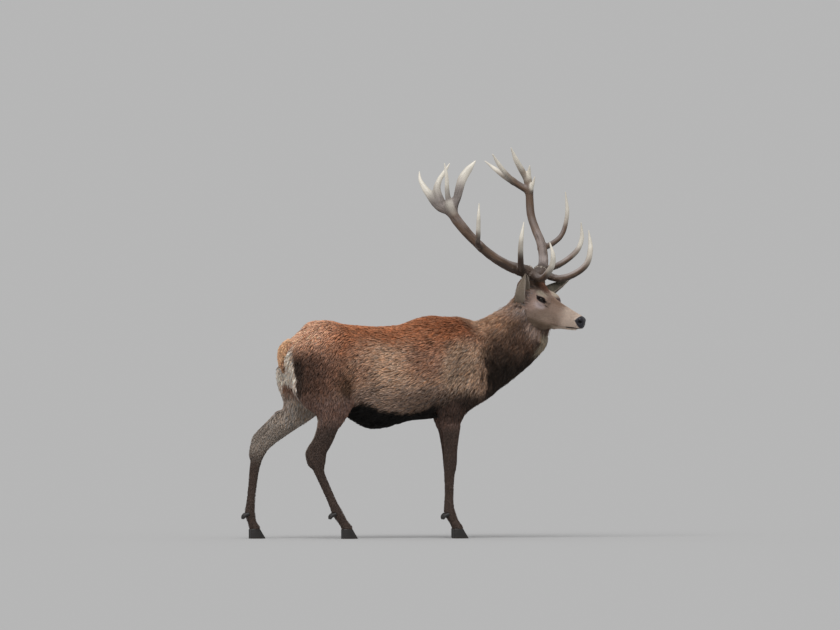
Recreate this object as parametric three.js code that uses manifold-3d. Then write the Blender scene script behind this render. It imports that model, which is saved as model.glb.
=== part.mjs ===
// A life-size red deer stag, standing in mid stride with its head turned to its right.
// Millimetres. +X runs from tail to chest, +Y to the stag's left, +Z up from the floor.
//
// The flesh is one smooth field: ellipses carried along the spine, the limbs and the muscles, melted
// together. Each piece of flesh is a tube whose rings are found by walking outwards from a line inside
// the body until the field reaches the tips of the coat. Antlers, hooves, eyes and ears are made alone.
// Places are first measured from under the middle of the body; the last step centres the whole.

import * as THREE from "three";
import { mergeVertices } from "three/addons/utils/BufferGeometryUtils.js";
import Module from "manifold-3d";

const wasm = await Module();
wasm.setup();

// ---------------------------------------------------------------- driving dimensions

const GAP = 0.4; // between pieces that touch
const LEG_SPREAD = 108; // from the middle of the body to a standing leg

const BROW = new THREE.Vector3(652, -130, 1472); // midway between the antler burrs
const HEAD_YAW = -46; // degrees, the face turned to the stag's right
const HEAD_PITCH = 24.4; // degrees, the face's long axis below level

const EYE = { along: 136, out: 65, up: -100, radius: 21.5 };
const EAR = { length: 205, width: 92, thick: 9 };
const HOOF = { length: 86, width: 33, height: 54.5 };

const COLOURS = {
  coat: 0x8a6144,
  neck: 0x5b4234,
  face: 0x8f7c6b,
  leg: 0x5a463a,
  tail: 0xb98350,
  ear: 0x9a8b78,
  antler: 0x8a6448,
  tine: 0xb9a48c,
  horn: 0x2b2623,
  eye: 0x120c08,
};

// ---------------------------------------------------------------- frames of the head

const degrees = THREE.MathUtils.degToRad;

// The level frame of the antlers: +X where the face looks, +Y to the head's left, +Z up.
const CROWN_FRAME = new THREE.Matrix4()
  .makeRotationZ(degrees(HEAD_YAW))
  .setPosition(BROW);

// The frame of the face: +X down the nose, +Y to the head's left, +Z out of the brow.
const FACE_FRAME = CROWN_FRAME.clone().multiply(
  new THREE.Matrix4().makeRotationY(degrees(HEAD_PITCH)),
);

const onFace = (along, left, up) => new THREE.Vector3(along, left, up).applyMatrix4(FACE_FRAME);
const onCrown = (ahead, left, up) => new THREE.Vector3(ahead, left, up).applyMatrix4(CROWN_FRAME);
const faceUp = new THREE.Vector3(0, 0, 1).transformDirection(FACE_FRAME);
const faceAxis = new THREE.Vector3(1, 0, 0).transformDirection(FACE_FRAME);

// ---------------------------------------------------------------- the field of the flesh

// A smooth curve through rows of numbers, each row a place and the sizes there.
function smoothRows(rows, steps) {
  const at = (i) => rows[Math.min(Math.max(i, 0), rows.length - 1)];
  const out = [];
  for (let i = 0; i < rows.length - 1; i++) {
    const [a, b, c, d] = [at(i - 1), at(i), at(i + 1), at(i + 2)];
    for (let k = 0; k < steps; k++) {
      const t = k / steps;
      out.push(
        b.map((v, j) => {
          const bend = 2 * a[j] - 5 * v + 4 * c[j] - d[j];
          const twist = -a[j] + 3 * v - 3 * c[j] + d[j];
          return v + 0.5 * t * (c[j] - a[j] + t * (bend + t * twist));
        }),
      );
    }
  }
  out.push(rows.at(-1).slice());
  return out;
}

// An ellipse carried along a line. Each row is x, y, z, half width, height above and depth below the
// line. The upper side faces `upwards`, and the ends are rounded.
function sweep(rows, upwards, steps = 5) {
  const links = [];
  const dense = smoothRows(rows, steps);
  for (let i = 0; i < dense.length - 1; i++) {
    const [p, q] = [dense[i], dense[i + 1]];
    const start = new THREE.Vector3(p[0], p[1], p[2]);
    const run = new THREE.Vector3(q[0], q[1], q[2]).sub(start);
    const length = run.length();
    const axis = run.normalize();
    const side = new THREE.Vector3().crossVectors(upwards, axis).normalize();
    const rise = new THREE.Vector3().crossVectors(axis, side);
    links.push({ start, axis, side, rise, length, from: p.slice(3), to: q.slice(3) });
  }
  const box = new THREE.Box3();
  for (const row of dense) {
    const around = new THREE.Sphere(new THREE.Vector3(...row.slice(0, 3)), Math.max(...row.slice(3)));
    box.union(around.getBoundingBox(new THREE.Box3()));
  }
  return { links, box };
}

const offset = new THREE.Vector3();

// Roughly how far a point lies outside a sweep: negative inside it.
function distanceTo({ links }, point) {
  let nearest = Infinity;
  for (const { start, axis, side, rise, length, from, to } of links) {
    offset.subVectors(point, start);
    const along = offset.dot(axis);
    const t = Math.min(Math.max(along / length, 0), 1);
    const beyond = along - t * length;
    const wide = from[0] + t * (to[0] - from[0]);
    const high = from[1] + t * (to[1] - from[1]);
    const deep = from[2] + t * (to[2] - from[2]);
    const across = offset.dot(side) / wide;
    const upright = offset.dot(rise);
    const vertical = upright / (upright > 0 ? high : deep);
    const least = Math.min(wide, high, deep);
    const reach = Math.hypot(across, vertical, beyond / least);
    nearest = Math.min(nearest, (reach - 1) * least);
  }
  return nearest;
}

// The smaller of two distances, with the crease between them filled over a width of `melt`.
function melted(a, b, melt) {
  const h = Math.max(melt - Math.abs(a - b), 0) / melt;
  return Math.min(a, b) - h * h * melt * 0.25;
}

function fieldOf(parts) {
  const grown = parts.map(([shape, melt]) => ({
    shape,
    melt,
    box: shape.box.clone().expandByScalar(melt + 40),
  }));
  return (point) => {
    let value = 400;
    for (const { shape, melt, box } of grown) {
      if (!box.containsPoint(point)) continue;
      value = melted(value, distanceTo(shape, point), melt);
    }
    return value;
  };
}

// ---------------------------------------------------------------- anatomy, to the tips of the coat

const UP = new THREE.Vector3(0, 0, 1);
const FORWARD = new THREE.Vector3(1, 0, 0);

const barrel = sweep(
  [
    [-650, 0, 1000, 112, 130, 165],
    [-590, 0, 990, 156, 188, 215],
    [-500, 0, 975, 190, 230, 245],
    [-360, 0, 955, 203, 234, 275],
    [-200, 0, 930, 214, 252, 312],
    [-40, 0, 930, 222, 268, 284],
    [110, 0, 945, 212, 298, 282],
    [230, 0, 975, 186, 258, 268],
    [300, -3, 1000, 160, 196, 230],
  ],
  UP,
);

const neck = sweep(
  [
    [290, 0, 990, 160, 208, 225],
    [400, -8, 1030, 158, 186, 212],
    [500, -32, 1090, 148, 172, 198],
    [580, -62, 1170, 135, 158, 182],
    [636, -90, 1262, 118, 134, 156],
    [652, -104, 1322, 84, 108, 86],
    [656, -114, 1366, 54, 66, 50],
  ],
  UP,
);

const dewlap = sweep(
  [
    [500, -25, 960, 70, 70, 70],
    [600, -62, 1030, 72, 60, 62],
    [668, -98, 1105, 66, 52, 52],
  ],
  UP,
);

const sheath = sweep(
  [
    [-330, 0, 690, 40, 40, 36],
    [-250, 0, 655, 44, 40, 46],
    [-150, 0, 668, 38, 30, 34],
  ],
  UP,
);

// Muscles of one side: the side is +1 for the left and -1 for the right.
const shoulder = (side) =>
  sweep(
    [
      [190, side * 95, 1150, 62, 75, 75],
      [275, side * 130, 1010, 72, 100, 110],
      [330, side * 128, 885, 66, 84, 96],
      [290, side * 124, 815, 60, 70, 84],
    ],
    FORWARD,
  );

const upperArm = (side) =>
  sweep(
    [
      [310, side * 120, 860, 58, 64, 80],
      [235, side * 126, 785, 58, 70, 84],
      [180, side * 124, 735, 52, 66, 74],
    ],
    FORWARD,
  );

const haunch = (side) =>
  sweep(
    [
      [-480, side * 88, 1105, 84, 110, 150],
      [-545, side * 105, 985, 90, 150, 190],
      [side > 0 ? -560 : -538, side * 115, 880, 88, 150, 196],
      [side > 0 ? -570 : -520, side * 120, 832, 64, 122, 158],
    ],
    FORWARD,
  );

// The legs' lines, from hip or shoulder to hoof, with half width, fore depth and aft depth.
const NEAR_FORE_LEG = [
  [215, 120, 800, 68, 96, 92],
  [174, 122, 705, 58, 78, 78],
  [176, 116, 600, 46, 52, 50],
  [175, 110, 500, 35, 40, 37],
  [174, LEG_SPREAD, 412, 33, 37, 34],
  [172, LEG_SPREAD, 350, 25, 27, 30],
  [170, LEG_SPREAD, 265, 21, 23, 26],
  [170, LEG_SPREAD, 190, 22, 24, 29],
  [174, LEG_SPREAD, 145, 28, 29, 34],
  [198, LEG_SPREAD, 92, 28, 25, 27],
  [218, LEG_SPREAD, 55, 33, 30, 30],
];

const FAR_FORE_LEG = [
  [245, 120, 800, 68, 96, 92],
  [206, 122, 705, 58, 78, 78],
  [214, 116, 600, 46, 52, 50],
  [220, 110, 500, 35, 40, 37],
  [226, LEG_SPREAD, 412, 33, 37, 34],
  [226, LEG_SPREAD, 350, 25, 27, 30],
  [225, LEG_SPREAD, 265, 21, 23, 26],
  [225, LEG_SPREAD, 190, 22, 24, 29],
  [229, LEG_SPREAD, 145, 28, 29, 34],
  [253, LEG_SPREAD, 92, 28, 25, 27],
  [273, LEG_SPREAD, 55, 33, 30, 30],
];

const NEAR_HIND_LEG = [
  [-520, 122, 860, 82, 150, 196],
  [-505, 130, 745, 74, 112, 146],
  [-532, 128, 645, 56, 73, 56],
  [-556, 123, 560, 42, 59, 38],
  [-584, 119, 495, 35, 53, 44],
  [-588, 116, 438, 34, 47, 48],
  [-574, 112, 365, 26, 27, 30],
  [-538, LEG_SPREAD, 285, 22, 24, 26],
  [-497, LEG_SPREAD, 195, 22, 24, 27],
  [-474, LEG_SPREAD, 148, 28, 28, 33],
  [-441, LEG_SPREAD, 94, 27, 25, 27],
  [-417, LEG_SPREAD, 56, 33, 30, 30],
];

const FAR_HIND_LEG = [
  [-560, 122, 870, 84, 150, 200],
  [-595, 128, 770, 76, 112, 158],
  [-655, 128, 690, 58, 76, 86],
  [-745, 124, 610, 44, 56, 54],
  [-820, 120, 545, 36, 46, 46],
  [-866, 116, 480, 33, 39, 42],
  [-888, 112, 400, 26, 29, 31],
  [-901, LEG_SPREAD, 310, 22, 25, 26],
  [-912, LEG_SPREAD, 200, 22, 24, 27],
  [-916, LEG_SPREAD, 148, 28, 28, 33],
  [-906, LEG_SPREAD, 94, 27, 25, 27],
  [-890, LEG_SPREAD, 56, 33, 30, 30],
];

// The tendon above each hock and the heel bone that it pulls on.
const NEAR_HEEL = [
  [-566, 126, 640, 20, 22, 20],
  [-601, 122, 545, 15, 16, 16],
  [-640, 118, 480, 16, 19, 17],
  [-624, 116, 420, 19, 22, 21],
];

const FAR_HEEL = [
  [-772, 126, 668, 22, 24, 24],
  [-843, 122, 605, 16, 18, 18],
  [-886, 118, 552, 17, 20, 17],
  [-896, 116, 470, 19, 22, 20],
];

// The cuts are places along a leg's rows: where it leaves the trunk, its carpus or hock, its fetlock.
const LEGS = [
  { name: "front_right", side: -1, rows: NEAR_FORE_LEG, cuts: [1.45, 4, 8] },
  { name: "front_left", side: 1, rows: FAR_FORE_LEG, cuts: [1.45, 4, 8] },
  { name: "hind_right", side: -1, rows: NEAR_HIND_LEG, cuts: [1.35, 5, 9], heel: NEAR_HEEL },
  { name: "hind_left", side: 1, rows: FAR_HIND_LEG, cuts: [1.4, 5, 9], heel: FAR_HEEL },
];

const onSide = (rows, side) => rows.map(([x, y, ...rest]) => [x, side * y, ...rest]);

// Rows of the head are along, left, up on the face, then half width, height above and depth below.
const faceRows = (rows) =>
  rows.map(([along, left, up, ...sizes]) => [...onFace(along, left, up), ...sizes]);
const faceSweep = (rows) => sweep(faceRows(rows), faceUp);

const skull = faceSweep([
  [-12, 0, -84, 52, 56, 74],
  [35, 0, -92, 66, 80, 106],
  [85, 0, -116, 72, 76, 118],
  [145, 0, -136, 64, 72, 112],
  [210, 0, -150, 52, 73, 94],
  [280, 0, -148, 42, 65, 68],
  [340, 0, -140, 37, 52, 54],
  [376, 0, -132, 35, 42, 44],
]);

const brow = (side) =>
  faceSweep([
    [104, side * 54, -84, 24, 26, 30],
    [142, side * 66, -88, 25, 26, 28],
    [172, side * 54, -98, 20, 22, 26],
  ]);

const cheek = (side) =>
  faceSweep([
    [96, side * 46, -150, 30, 34, 34],
    [130, side * 42, -200, 30, 36, 34],
    [200, side * 30, -205, 24, 26, 28],
  ]);

const nostril = (side) =>
  faceSweep([
    [352, side * 20, -124, 18, 20, 20],
    [384, side * 18, -120, 18, 20, 22],
  ]);

const pedicle = (side) =>
  sweep(
    [
      [...onCrown(12, side * 44, -50), 30, 30, 30],
      [...onCrown(2, side * 50, -12), 27, 27, 27],
    ],
    faceAxis,
  );

const TAIL = [
  [-728, 0, 1078, 34, 26, 26],
  [-762, 0, 1054, 35, 26, 26],
  [-776, 0, 1004, 31, 22, 22],
  [-772, 0, 962, 20, 14, 14],
];

const bothSides = (make) => [make(-1), make(1)];

const torsoParts = [
  [barrel, 60],
  [neck, 90],
  ...bothSides(shoulder).map((shape) => [shape, 60]),
  ...bothSides(upperArm).map((shape) => [shape, 50]),
  ...bothSides(haunch).map((shape) => [shape, 60]),
  [dewlap, 60],
  [sheath, 40],
];

const legParts = ({ side, rows, heel }) => [
  [sweep(onSide(rows, side), FORWARD), 40],
  ...(heel ? [[sweep(onSide(heel, side), FORWARD), 26]] : []),
];

const headParts = [
  [skull, 50],
  ...bothSides(brow).map((shape) => [shape, 16]),
  ...bothSides(cheek).map((shape) => [shape, 30]),
  ...bothSides(nostril).map((shape) => [shape, 14]),
  ...bothSides(pedicle).map((shape) => [shape, 20]),
];

const torso = fieldOf(torsoParts);
const head = fieldOf(headParts);
const tail = fieldOf([[sweep(TAIL, new THREE.Vector3(-1, 0, 0.6)), 10]]);
const swollen = (field) => (point) => field(point) - GAP;

// ---------------------------------------------------------------- tubes round the field

const STRIDE = 0.85; // of the field's value, which overstates the way left
const CLOSE_ENOUGH = 0.05;

// How far from `start` towards `direction` the field first reaches zero, at most `most`.
function walk(field, start, direction, most) {
  const point = new THREE.Vector3();
  let [low, high] = [0, 0];
  while (high < most) {
    const value = field(point.copy(start).addScaledVector(direction, high));
    if (value > 0) break;
    low = high;
    high += Math.max(-value * STRIDE, 1.5);
  }
  if (high >= most) return most;
  while (high - low > CLOSE_ENOUGH) {
    const middle = (low + high) / 2;
    if (field(point.copy(start).addScaledVector(direction, middle)) > 0) high = middle;
    else low = middle;
  }
  return (low + high) / 2;
}

// Rings of points round the stations of a line. A station is {at, axis, lean, most}: the rays of its
// ring lean from square across the line (0) towards its axis (90 degrees, which makes a pole).
function ringsRound(field, stations, upwards, around) {
  return stations.map(({ at, axis, lean = 0, most = 600 }) => {
    const side = new THREE.Vector3().crossVectors(upwards, axis).normalize();
    const rise = new THREE.Vector3().crossVectors(axis, side);
    const [flat, tall] = [Math.cos(degrees(lean)), Math.sin(degrees(lean))];
    const count = Math.abs(lean) === 90 ? 1 : around;
    return Array.from({ length: count }, (_, j) => {
      const turn = (2 * Math.PI * j) / around;
      const ray = new THREE.Vector3()
        .addScaledVector(rise, flat * Math.cos(turn))
        .addScaledVector(side, flat * Math.sin(turn))
        .addScaledVector(axis, tall);
      return at.clone().addScaledVector(ray, walk(field, at, ray, most));
    });
  });
}

// One closed body from rings of points: a ring of one point is a pole, and an end ring is capped flat.
function solidOf(rings) {
  const points = [];
  const triangles = [];
  const starts = rings.map((ring) => points.push(...ring) - ring.length);
  const centres = [rings[0], rings.at(-1)].map((ring) => {
    if (ring.length === 1) return points.indexOf(ring[0]);
    const centre = ring.reduce((sum, p) => sum.add(p), new THREE.Vector3()).divideScalar(ring.length);
    return points.push(centre) - 1;
  });
  const fan = (centre, start, count, forwards) => {
    for (let j = 0; j < count; j++) {
      const [a, b] = [start + j, start + ((j + 1) % count)];
      triangles.push(...(forwards ? [centre, a, b] : [centre, b, a]));
    }
  };
  for (let i = 0; i < rings.length - 1; i++) {
    const [m, n] = [rings[i].length, rings[i + 1].length];
    if (m === 1) fan(starts[i], starts[i + 1], n, false);
    else if (n === 1) fan(starts[i + 1], starts[i], m, true);
    else
      for (let j = 0; j < m; j++) {
        const k = (j + 1) % m;
        const [a, b, c, d] = [starts[i] + j, starts[i] + k, starts[i + 1] + j, starts[i + 1] + k];
        triangles.push(a, b, c, b, d, c);
      }
  }
  if (rings[0].length > 1) fan(centres[0], starts[0], rings[0].length, false);
  if (rings.at(-1).length > 1) fan(centres[1], starts.at(-1), rings.at(-1).length, true);
  const geometry = new THREE.BufferGeometry().setFromPoints(points);
  geometry.setIndex(triangles);
  return outwards(geometry);
}

// The geometry with its faces turned to point out.
function outwards(geometry) {
  const place = geometry.getAttribute("position");
  const corners = geometry.index.array;
  const [a, b, c] = [new THREE.Vector3(), new THREE.Vector3(), new THREE.Vector3()];
  let volume = 0;
  for (let i = 0; i < corners.length; i += 3) {
    a.fromBufferAttribute(place, corners[i]);
    b.fromBufferAttribute(place, corners[i + 1]);
    c.fromBufferAttribute(place, corners[i + 2]);
    volume += a.dot(b.cross(c));
  }
  for (let i = 0; volume < 0 && i < corners.length; i += 3) {
    [corners[i], corners[i + 1]] = [corners[i + 1], corners[i]];
  }
  return geometry;
}

// ---------------------------------------------------------------- joins and cuts

function manifoldOf(geometry) {
  const bare = new THREE.BufferGeometry().setAttribute("position", geometry.getAttribute("position"));
  bare.setIndex(geometry.index);
  const merged = mergeVertices(bare, 1e-3);
  return new wasm.Manifold(
    new wasm.Mesh({
      numProp: 3,
      vertProperties: new Float32Array(merged.getAttribute("position").array),
      triVerts: new Uint32Array(merged.index.array),
    }),
  );
}

function geometryOf(solid) {
  const mesh = solid.getMesh();
  const geometry = new THREE.BufferGeometry();
  geometry.setAttribute("position", new THREE.BufferAttribute(mesh.vertProperties, 3));
  geometry.setIndex(new THREE.BufferAttribute(mesh.triVerts, 1));
  return geometry;
}

function joined(...pieces) {
  return geometryOf(pieces.map(manifoldOf).reduce((all, piece) => all.add(piece)));
}

// What is left of a piece after the cuts, without the crumbs beyond them.
function cut(piece, ...tools) {
  const left = tools.map(manifoldOf).reduce((rest, tool) => rest.subtract(tool), manifoldOf(piece));
  const [largest] = left.decompose().sort((a, b) => b.volume() - a.volume());
  return geometryOf(largest);
}

// ---------------------------------------------------------------- the group

const stag = new THREE.Group();
stag.name = "red_deer_stag";

function addPiece(name, geometry, colour, roughness = 0.9) {
  geometry.computeVertexNormals();
  const material = new THREE.MeshStandardMaterial({ color: colour, roughness, metalness: 0 });
  const mesh = new THREE.Mesh(geometry, material);
  mesh.name = name;
  stag.add(mesh);
}

// ---------------------------------------------------------------- trunk, neck and head

// The line inside the body from the rump to the poll, with the frame of each ring.
const SPINE = [
  [-600, 0, 985],
  [-500, 0, 975],
  [-400, 0, 960],
  [-290, 0, 945],
  [-180, 0, 935],
  [-70, 0, 935],
  [40, 0, 940],
  [140, 0, 955],
  [230, 0, 972],
  [310, -2, 992],
  [390, -8, 1020],
  [470, -24, 1065],
  [540, -46, 1125],
  [600, -72, 1200],
].map((place) => new THREE.Vector3(...place));

const spineAxis = (i) => {
  const [before, after] = [SPINE[Math.max(i - 1, 0)], SPINE[Math.min(i + 1, SPINE.length - 1)]];
  return after.clone().sub(before).normalize();
};

const spineStation = (i, shift = 0) => {
  const axis = spineAxis(i);
  return { at: SPINE[i].clone().addScaledVector(axis, shift), axis };
};

const TRUNK_END = 10; // the ring that parts the trunk from the neck
const NECK_END = SPINE.length - 1;
const AROUND_TRUNK = 24;

const RUMP_LEANS = [-90, -72, -54, -36, -18];
const rumpStations = RUMP_LEANS.map((lean) => ({ at: SPINE[0], axis: FORWARD, lean }));
const trunkStations = SPINE.slice(0, TRUNK_END).map((_, i) => spineStation(i));
const allTrunkStations = [...rumpStations, ...trunkStations, spineStation(TRUNK_END, -GAP)];
const trunkTube = (field) => solidOf(ringsRound(field, allTrunkStations, UP, AROUND_TRUNK));

// ---------------------------------------------------------------- legs

const AROUND_LEG = 12;
const STUB_MOST = 105; // keeps a leg's root inside the trunk
const LEG_MOST = 200;

// The ring at a place along a leg's rows. The last one lies level, on top of the claws.
function legStation(curve, place, slide = 0) {
  const share = place / (curve.points.length - 1);
  const axis = share === 1 ? new THREE.Vector3(0, 0, -1) : curve.getTangent(share);
  const at = curve.getPoint(share).addScaledVector(axis, slide);
  return { at, axis, most: place ? LEG_MOST : STUB_MOST };
}

const stubs = [];
const feet = [];
for (const leg of LEGS) {
  const line = onSide(leg.rows, leg.side).map((row) => new THREE.Vector3(...row.slice(0, 3)));
  const curve = new THREE.CatmullRomCurve3(line, false, "catmullrom", 0.5);
  const flesh = fieldOf(legParts(leg));
  const lengthOf = (first, last, rings, field = flesh) => {
    const stations = Array.from({ length: rings }, (_, k) => {
      const slide = k === 0 ? GAP / 2 : k === rings - 1 ? -GAP / 2 : 0;
      return legStation(curve, first + ((last - first) * k) / (rings - 1), slide);
    });
    return solidOf(ringsRound(field, stations, FORWARD, AROUND_LEG));
  };
  const [parting, knee, fetlock] = leg.cuts;
  stubs.push(lengthOf(0, parting, 4));
  addPiece(`leg_${leg.name}_upper`, lengthOf(parting, knee, 8), COLOURS.leg);
  addPiece(`leg_${leg.name}_cannon`, lengthOf(knee, fetlock, 8), COLOURS.leg);
  addPiece(`leg_${leg.name}_pastern`, lengthOf(fetlock, line.length - 1, 5), COLOURS.leg);
  const swollenPastern = lengthOf(fetlock - 1, line.length - 1, 7, swollen(flesh));
  feet.push({ name: leg.name, side: leg.side, ankle: line.at(-1), fetlock: line.at(-3), swollenPastern });
}

addPiece("trunk", joined(trunkTube(torso), ...stubs), COLOURS.coat);

// ---------------------------------------------------------------- hooves

// Half the outline of one claw seen from above, heel to toe, as shares of its length and half width.
const CLAW_OUTLINE = [
  [0, 0],
  [0.06, 0.7],
  [0.36, 1],
  [0.72, 0.76],
  [0.98, 0.2],
];

// Heights of a claw's rings as shares of its height, with the length and width kept there and how far
// back the toe has moved: the toe's wall slopes up and back to the coronet.
const CLAW_RINGS = [
  { up: 0, length: 1, width: 0.94 },
  { up: 0.12, length: 0.97, width: 1 },
  { up: 0.55, length: 0.8, width: 0.98 },
  { up: 1, length: 0.64, width: 0.9 },
];

// One claw: its inner wall is flatter than its outer wall, and stands `inner` from the foot's middle.
function claw(heel, inner, side) {
  const [outward, inward] = [0.58 * HOOF.width, 0.42 * HOOF.width];
  const rings = CLAW_RINGS.map(({ up, length, width }) => {
    const outer = CLAW_OUTLINE.map(([along, out]) => [along, outward * out]);
    const inside = CLAW_OUTLINE.slice(1).reverse().map(([along, out]) => [along, -inward * out]);
    return [...outer, ...inside].map(([along, out]) => {
      const y = heel.y + side * (inner + inward + width * out);
      return new THREE.Vector3(heel.x + HOOF.length * length * along, y, HOOF.height * up);
    });
  });
  return solidOf(rings);
}

// A dewclaw: a blunt cone behind the fetlock, hanging down and back.
function dewclaw(root, side) {
  const line = new THREE.CatmullRomCurve3(
    [[12, 4, 8], [-6, 0, 2], [-20, 2, -10], [-26, 2, -22]].map(
      ([x, y, z]) => new THREE.Vector3(root.x + x, root.y + side * y, root.z + z),
    ),
  );
  return tube(line, [9, 10, 8, 3.5], { around: 6, rings: 4 });
}

// ---------------------------------------------------------------- horn tubes

// A round bar along a curve, or along the `span` of it: `radii` are spread evenly along the curve and
// its far end is a pole.
function tube(curve, radii, { around = 7, rings = 7, span = [0, 1], swell = 0 } = {}) {
  const rise = new THREE.Vector3(0.3, 0.2, 1);
  const out = [];
  for (let i = 0; i < rings; i++) {
    const share = span[0] + ((span[1] - span[0]) * i) / (rings - 1);
    const axis = curve.getTangentAt(share);
    const slide = i === 0 && share > 0 ? GAP / 2 : i === rings - 1 ? swell - (share < 1 ? GAP / 2 : 0) : 0;
    const at = curve.getPointAt(share).addScaledVector(axis, slide);
    rise.addScaledVector(axis, -rise.dot(axis)).normalize();
    const side = new THREE.Vector3().crossVectors(axis, rise);
    const place = share * (radii.length - 1);
    const k = Math.min(Math.floor(place), radii.length - 2);
    const radius = radii[k] + (place - k) * (radii[k + 1] - radii[k]) + swell;
    const ring = Array.from({ length: share === 1 ? 1 : around }, (_, j) => {
      const turn = (2 * Math.PI * j) / around;
      const flat = share === 1 ? 0 : radius;
      return at
        .clone()
        .addScaledVector(rise, flat * Math.cos(turn))
        .addScaledVector(side, flat * Math.sin(turn));
    });
    out.push(ring);
  }
  return solidOf(out);
}

for (const { name, side, ankle, fetlock, swollenPastern } of feet) {
  for (const [which, out] of [["inner", -1], ["outer", 1]]) {
    const heel = new THREE.Vector3(ankle.x - 30, ankle.y, 0);
    addPiece(`hoof_${name}_${which}`, claw(heel, 1.5, side * out), COLOURS.horn, 0.5);
    const root = new THREE.Vector3(fetlock.x - 26, fetlock.y + side * out * 15, fetlock.z - 18);
    const spur = cut(dewclaw(root, side * out), swollenPastern);
    addPiece(`dewclaw_${name}_${which}`, spur, COLOURS.horn, 0.5);
  }
}

// ---------------------------------------------------------------- neck, head and tail

// The head's rings stand square to the face, from a pole at the back of the skull to one at the nose.
const SKULL_LINE = [10, 45, 80, 112, 142, 175, 220, 270, 320, 358];
const SKULL_DROP = [-98, -105, -114, -122, -130, -138, -143, -143, -136, -130];
const HEAD_MOST = 260;
function faceStation(along, drop, lean = 0) {
  return { at: onFace(along, 0, drop), axis: faceAxis, lean, most: HEAD_MOST };
}
const headStations = [
  ...[-90, -60, -30].map((lean) => faceStation(SKULL_LINE[0], SKULL_DROP[0], lean)),
  ...SKULL_LINE.map((along, i) => faceStation(along, SKULL_DROP[i])),
  ...[30, 60, 90].map((lean) => faceStation(SKULL_LINE.at(-1), SKULL_DROP.at(-1), lean)),
];
const AROUND_HEAD = 22;
const headTube = (field) => solidOf(ringsRound(field, headStations, faceUp, AROUND_HEAD));
const bareHead = headTube(head);
const swollenHead = headTube(swollen(head));

const eyeBall = (side, radius) =>
  new THREE.IcosahedronGeometry(radius, 1).translate(...onFace(EYE.along, side * EYE.out, EYE.up));
const indexed = (geometry) => {
  const bare = new THREE.BufferGeometry().setAttribute("position", geometry.getAttribute("position"));
  return mergeVertices(bare, 1e-3);
};
const sockets = bothSides((side) => indexed(eyeBall(side, EYE.radius + 1.5 * GAP)));
addPiece("head", cut(bareHead, ...sockets), COLOURS.face);
for (const [name, side] of [["eye_right", -1], ["eye_left", 1]]) {
  addPiece(name, indexed(eyeBall(side, EYE.radius)), COLOURS.eye, 0.15);
}

const POLL = new THREE.Vector3(662, -114, 1352);
const neckStations = SPINE.slice(TRUNK_END).map((_, i) => spineStation(TRUNK_END + i));
neckStations[0] = spineStation(TRUNK_END, GAP);
const pollAxis = POLL.clone().sub(SPINE.at(-1)).normalize();
for (const share of [0.35, 0.7]) {
  neckStations.push({ at: SPINE.at(-1).clone().lerp(POLL, share), axis: pollAxis });
}
for (const lean of [25, 50, 90]) {
  neckStations.push({ at: SPINE.at(-1).clone().lerp(POLL, 0.7), axis: pollAxis, lean });
}
const neckTube = (field) => solidOf(ringsRound(field, neckStations, UP, AROUND_TRUNK));
addPiece("neck", cut(neckTube(torso), swollenHead, ...sockets), COLOURS.neck);
const swollenNeck = neckTube(swollen(torso));

const tailStations = [];
const TAIL_LINE = new THREE.CatmullRomCurve3(TAIL.map((row) => new THREE.Vector3(...row.slice(0, 3))));
const BACKWARD = new THREE.Vector3(-1, 0, 0.6);
const tailRings = [[0, -90], [0, -45], [0, 0], [0.25, 0], [0.5, 0], [0.75, 0], [1, 0], [1, 45], [1, 90]];
for (const [share, lean] of tailRings) {
  tailStations.push({ at: TAIL_LINE.getPoint(share), axis: TAIL_LINE.getTangent(share), lean });
}
const tailTube = solidOf(ringsRound(tail, tailStations, BACKWARD, 12));
addPiece("tail", cut(tailTube, trunkTube(swollen(torso))), COLOURS.tail);

// ---------------------------------------------------------------- ears

// An ear is a curled sheet: at each place along it, how wide and how deeply cupped it is.
const EAR_RINGS = [
  { along: 0, wide: 0.3, cup: 0.62 },
  { along: 0.12, wide: 0.43, cup: 0.72 },
  { along: 0.28, wide: 0.48, cup: 0.7 },
  { along: 0.45, wide: 0.48, cup: 0.6 },
  { along: 0.62, wide: 0.42, cup: 0.47 },
  { along: 0.78, wide: 0.31, cup: 0.32 },
  { along: 0.92, wide: 0.15, cup: 0.14 },
];

function ear(root, tip, opening) {
  const axis = tip.clone().sub(root).normalize();
  const side = new THREE.Vector3().crossVectors(opening, axis).normalize();
  const front = new THREE.Vector3().crossVectors(axis, side);
  const turns = [-90, -60, -30, 0, 30, 60, 90].map(degrees);
  const arc = (bends, wide, cup, skin) =>
    bends.map((turn) => [wide * EAR.width * Math.sin(turn), -cup * EAR.width * Math.cos(turn) - skin]);
  const rings = EAR_RINGS.map(({ along, wide, cup }) => {
    const at = root.clone().addScaledVector(axis, along * EAR.length);
    at.addScaledVector(front, cup * EAR.width * 0.5);
    const back = arc(turns, wide + 0.02, cup, EAR.thick / 2);
    const hollow = arc(turns.slice(1, -1).reverse(), wide - 0.05, 0.5 * cup, -EAR.thick / 2);
    return [...back, ...hollow].map(([out, depth]) =>
      at.clone().addScaledVector(side, out).addScaledVector(front, depth),
    );
  });
  return solidOf([...rings, [tip]]);
}

// Where an ear is rooted, where its tip is and what its hollow faces, in the level frame of the antlers.
const EARS = [
  { name: "ear_right", root: [-52, -72, -142], tip: [48, -182, -8], opening: [1, 0.18, -0.1] },
  { name: "ear_left", root: [-20, 70, -128], tip: [135, 185, -22], opening: [0.6, 0.2, -0.9] },
];
for (const { name, root, tip, opening } of EARS) {
  const facing = new THREE.Vector3(...opening).transformDirection(CROWN_FRAME);
  const sheet = ear(onCrown(...root), onCrown(...tip), facing);
  addPiece(name, cut(sheet, swollenHead, swollenNeck), COLOURS.ear);
}

// ---------------------------------------------------------------- antlers

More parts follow.
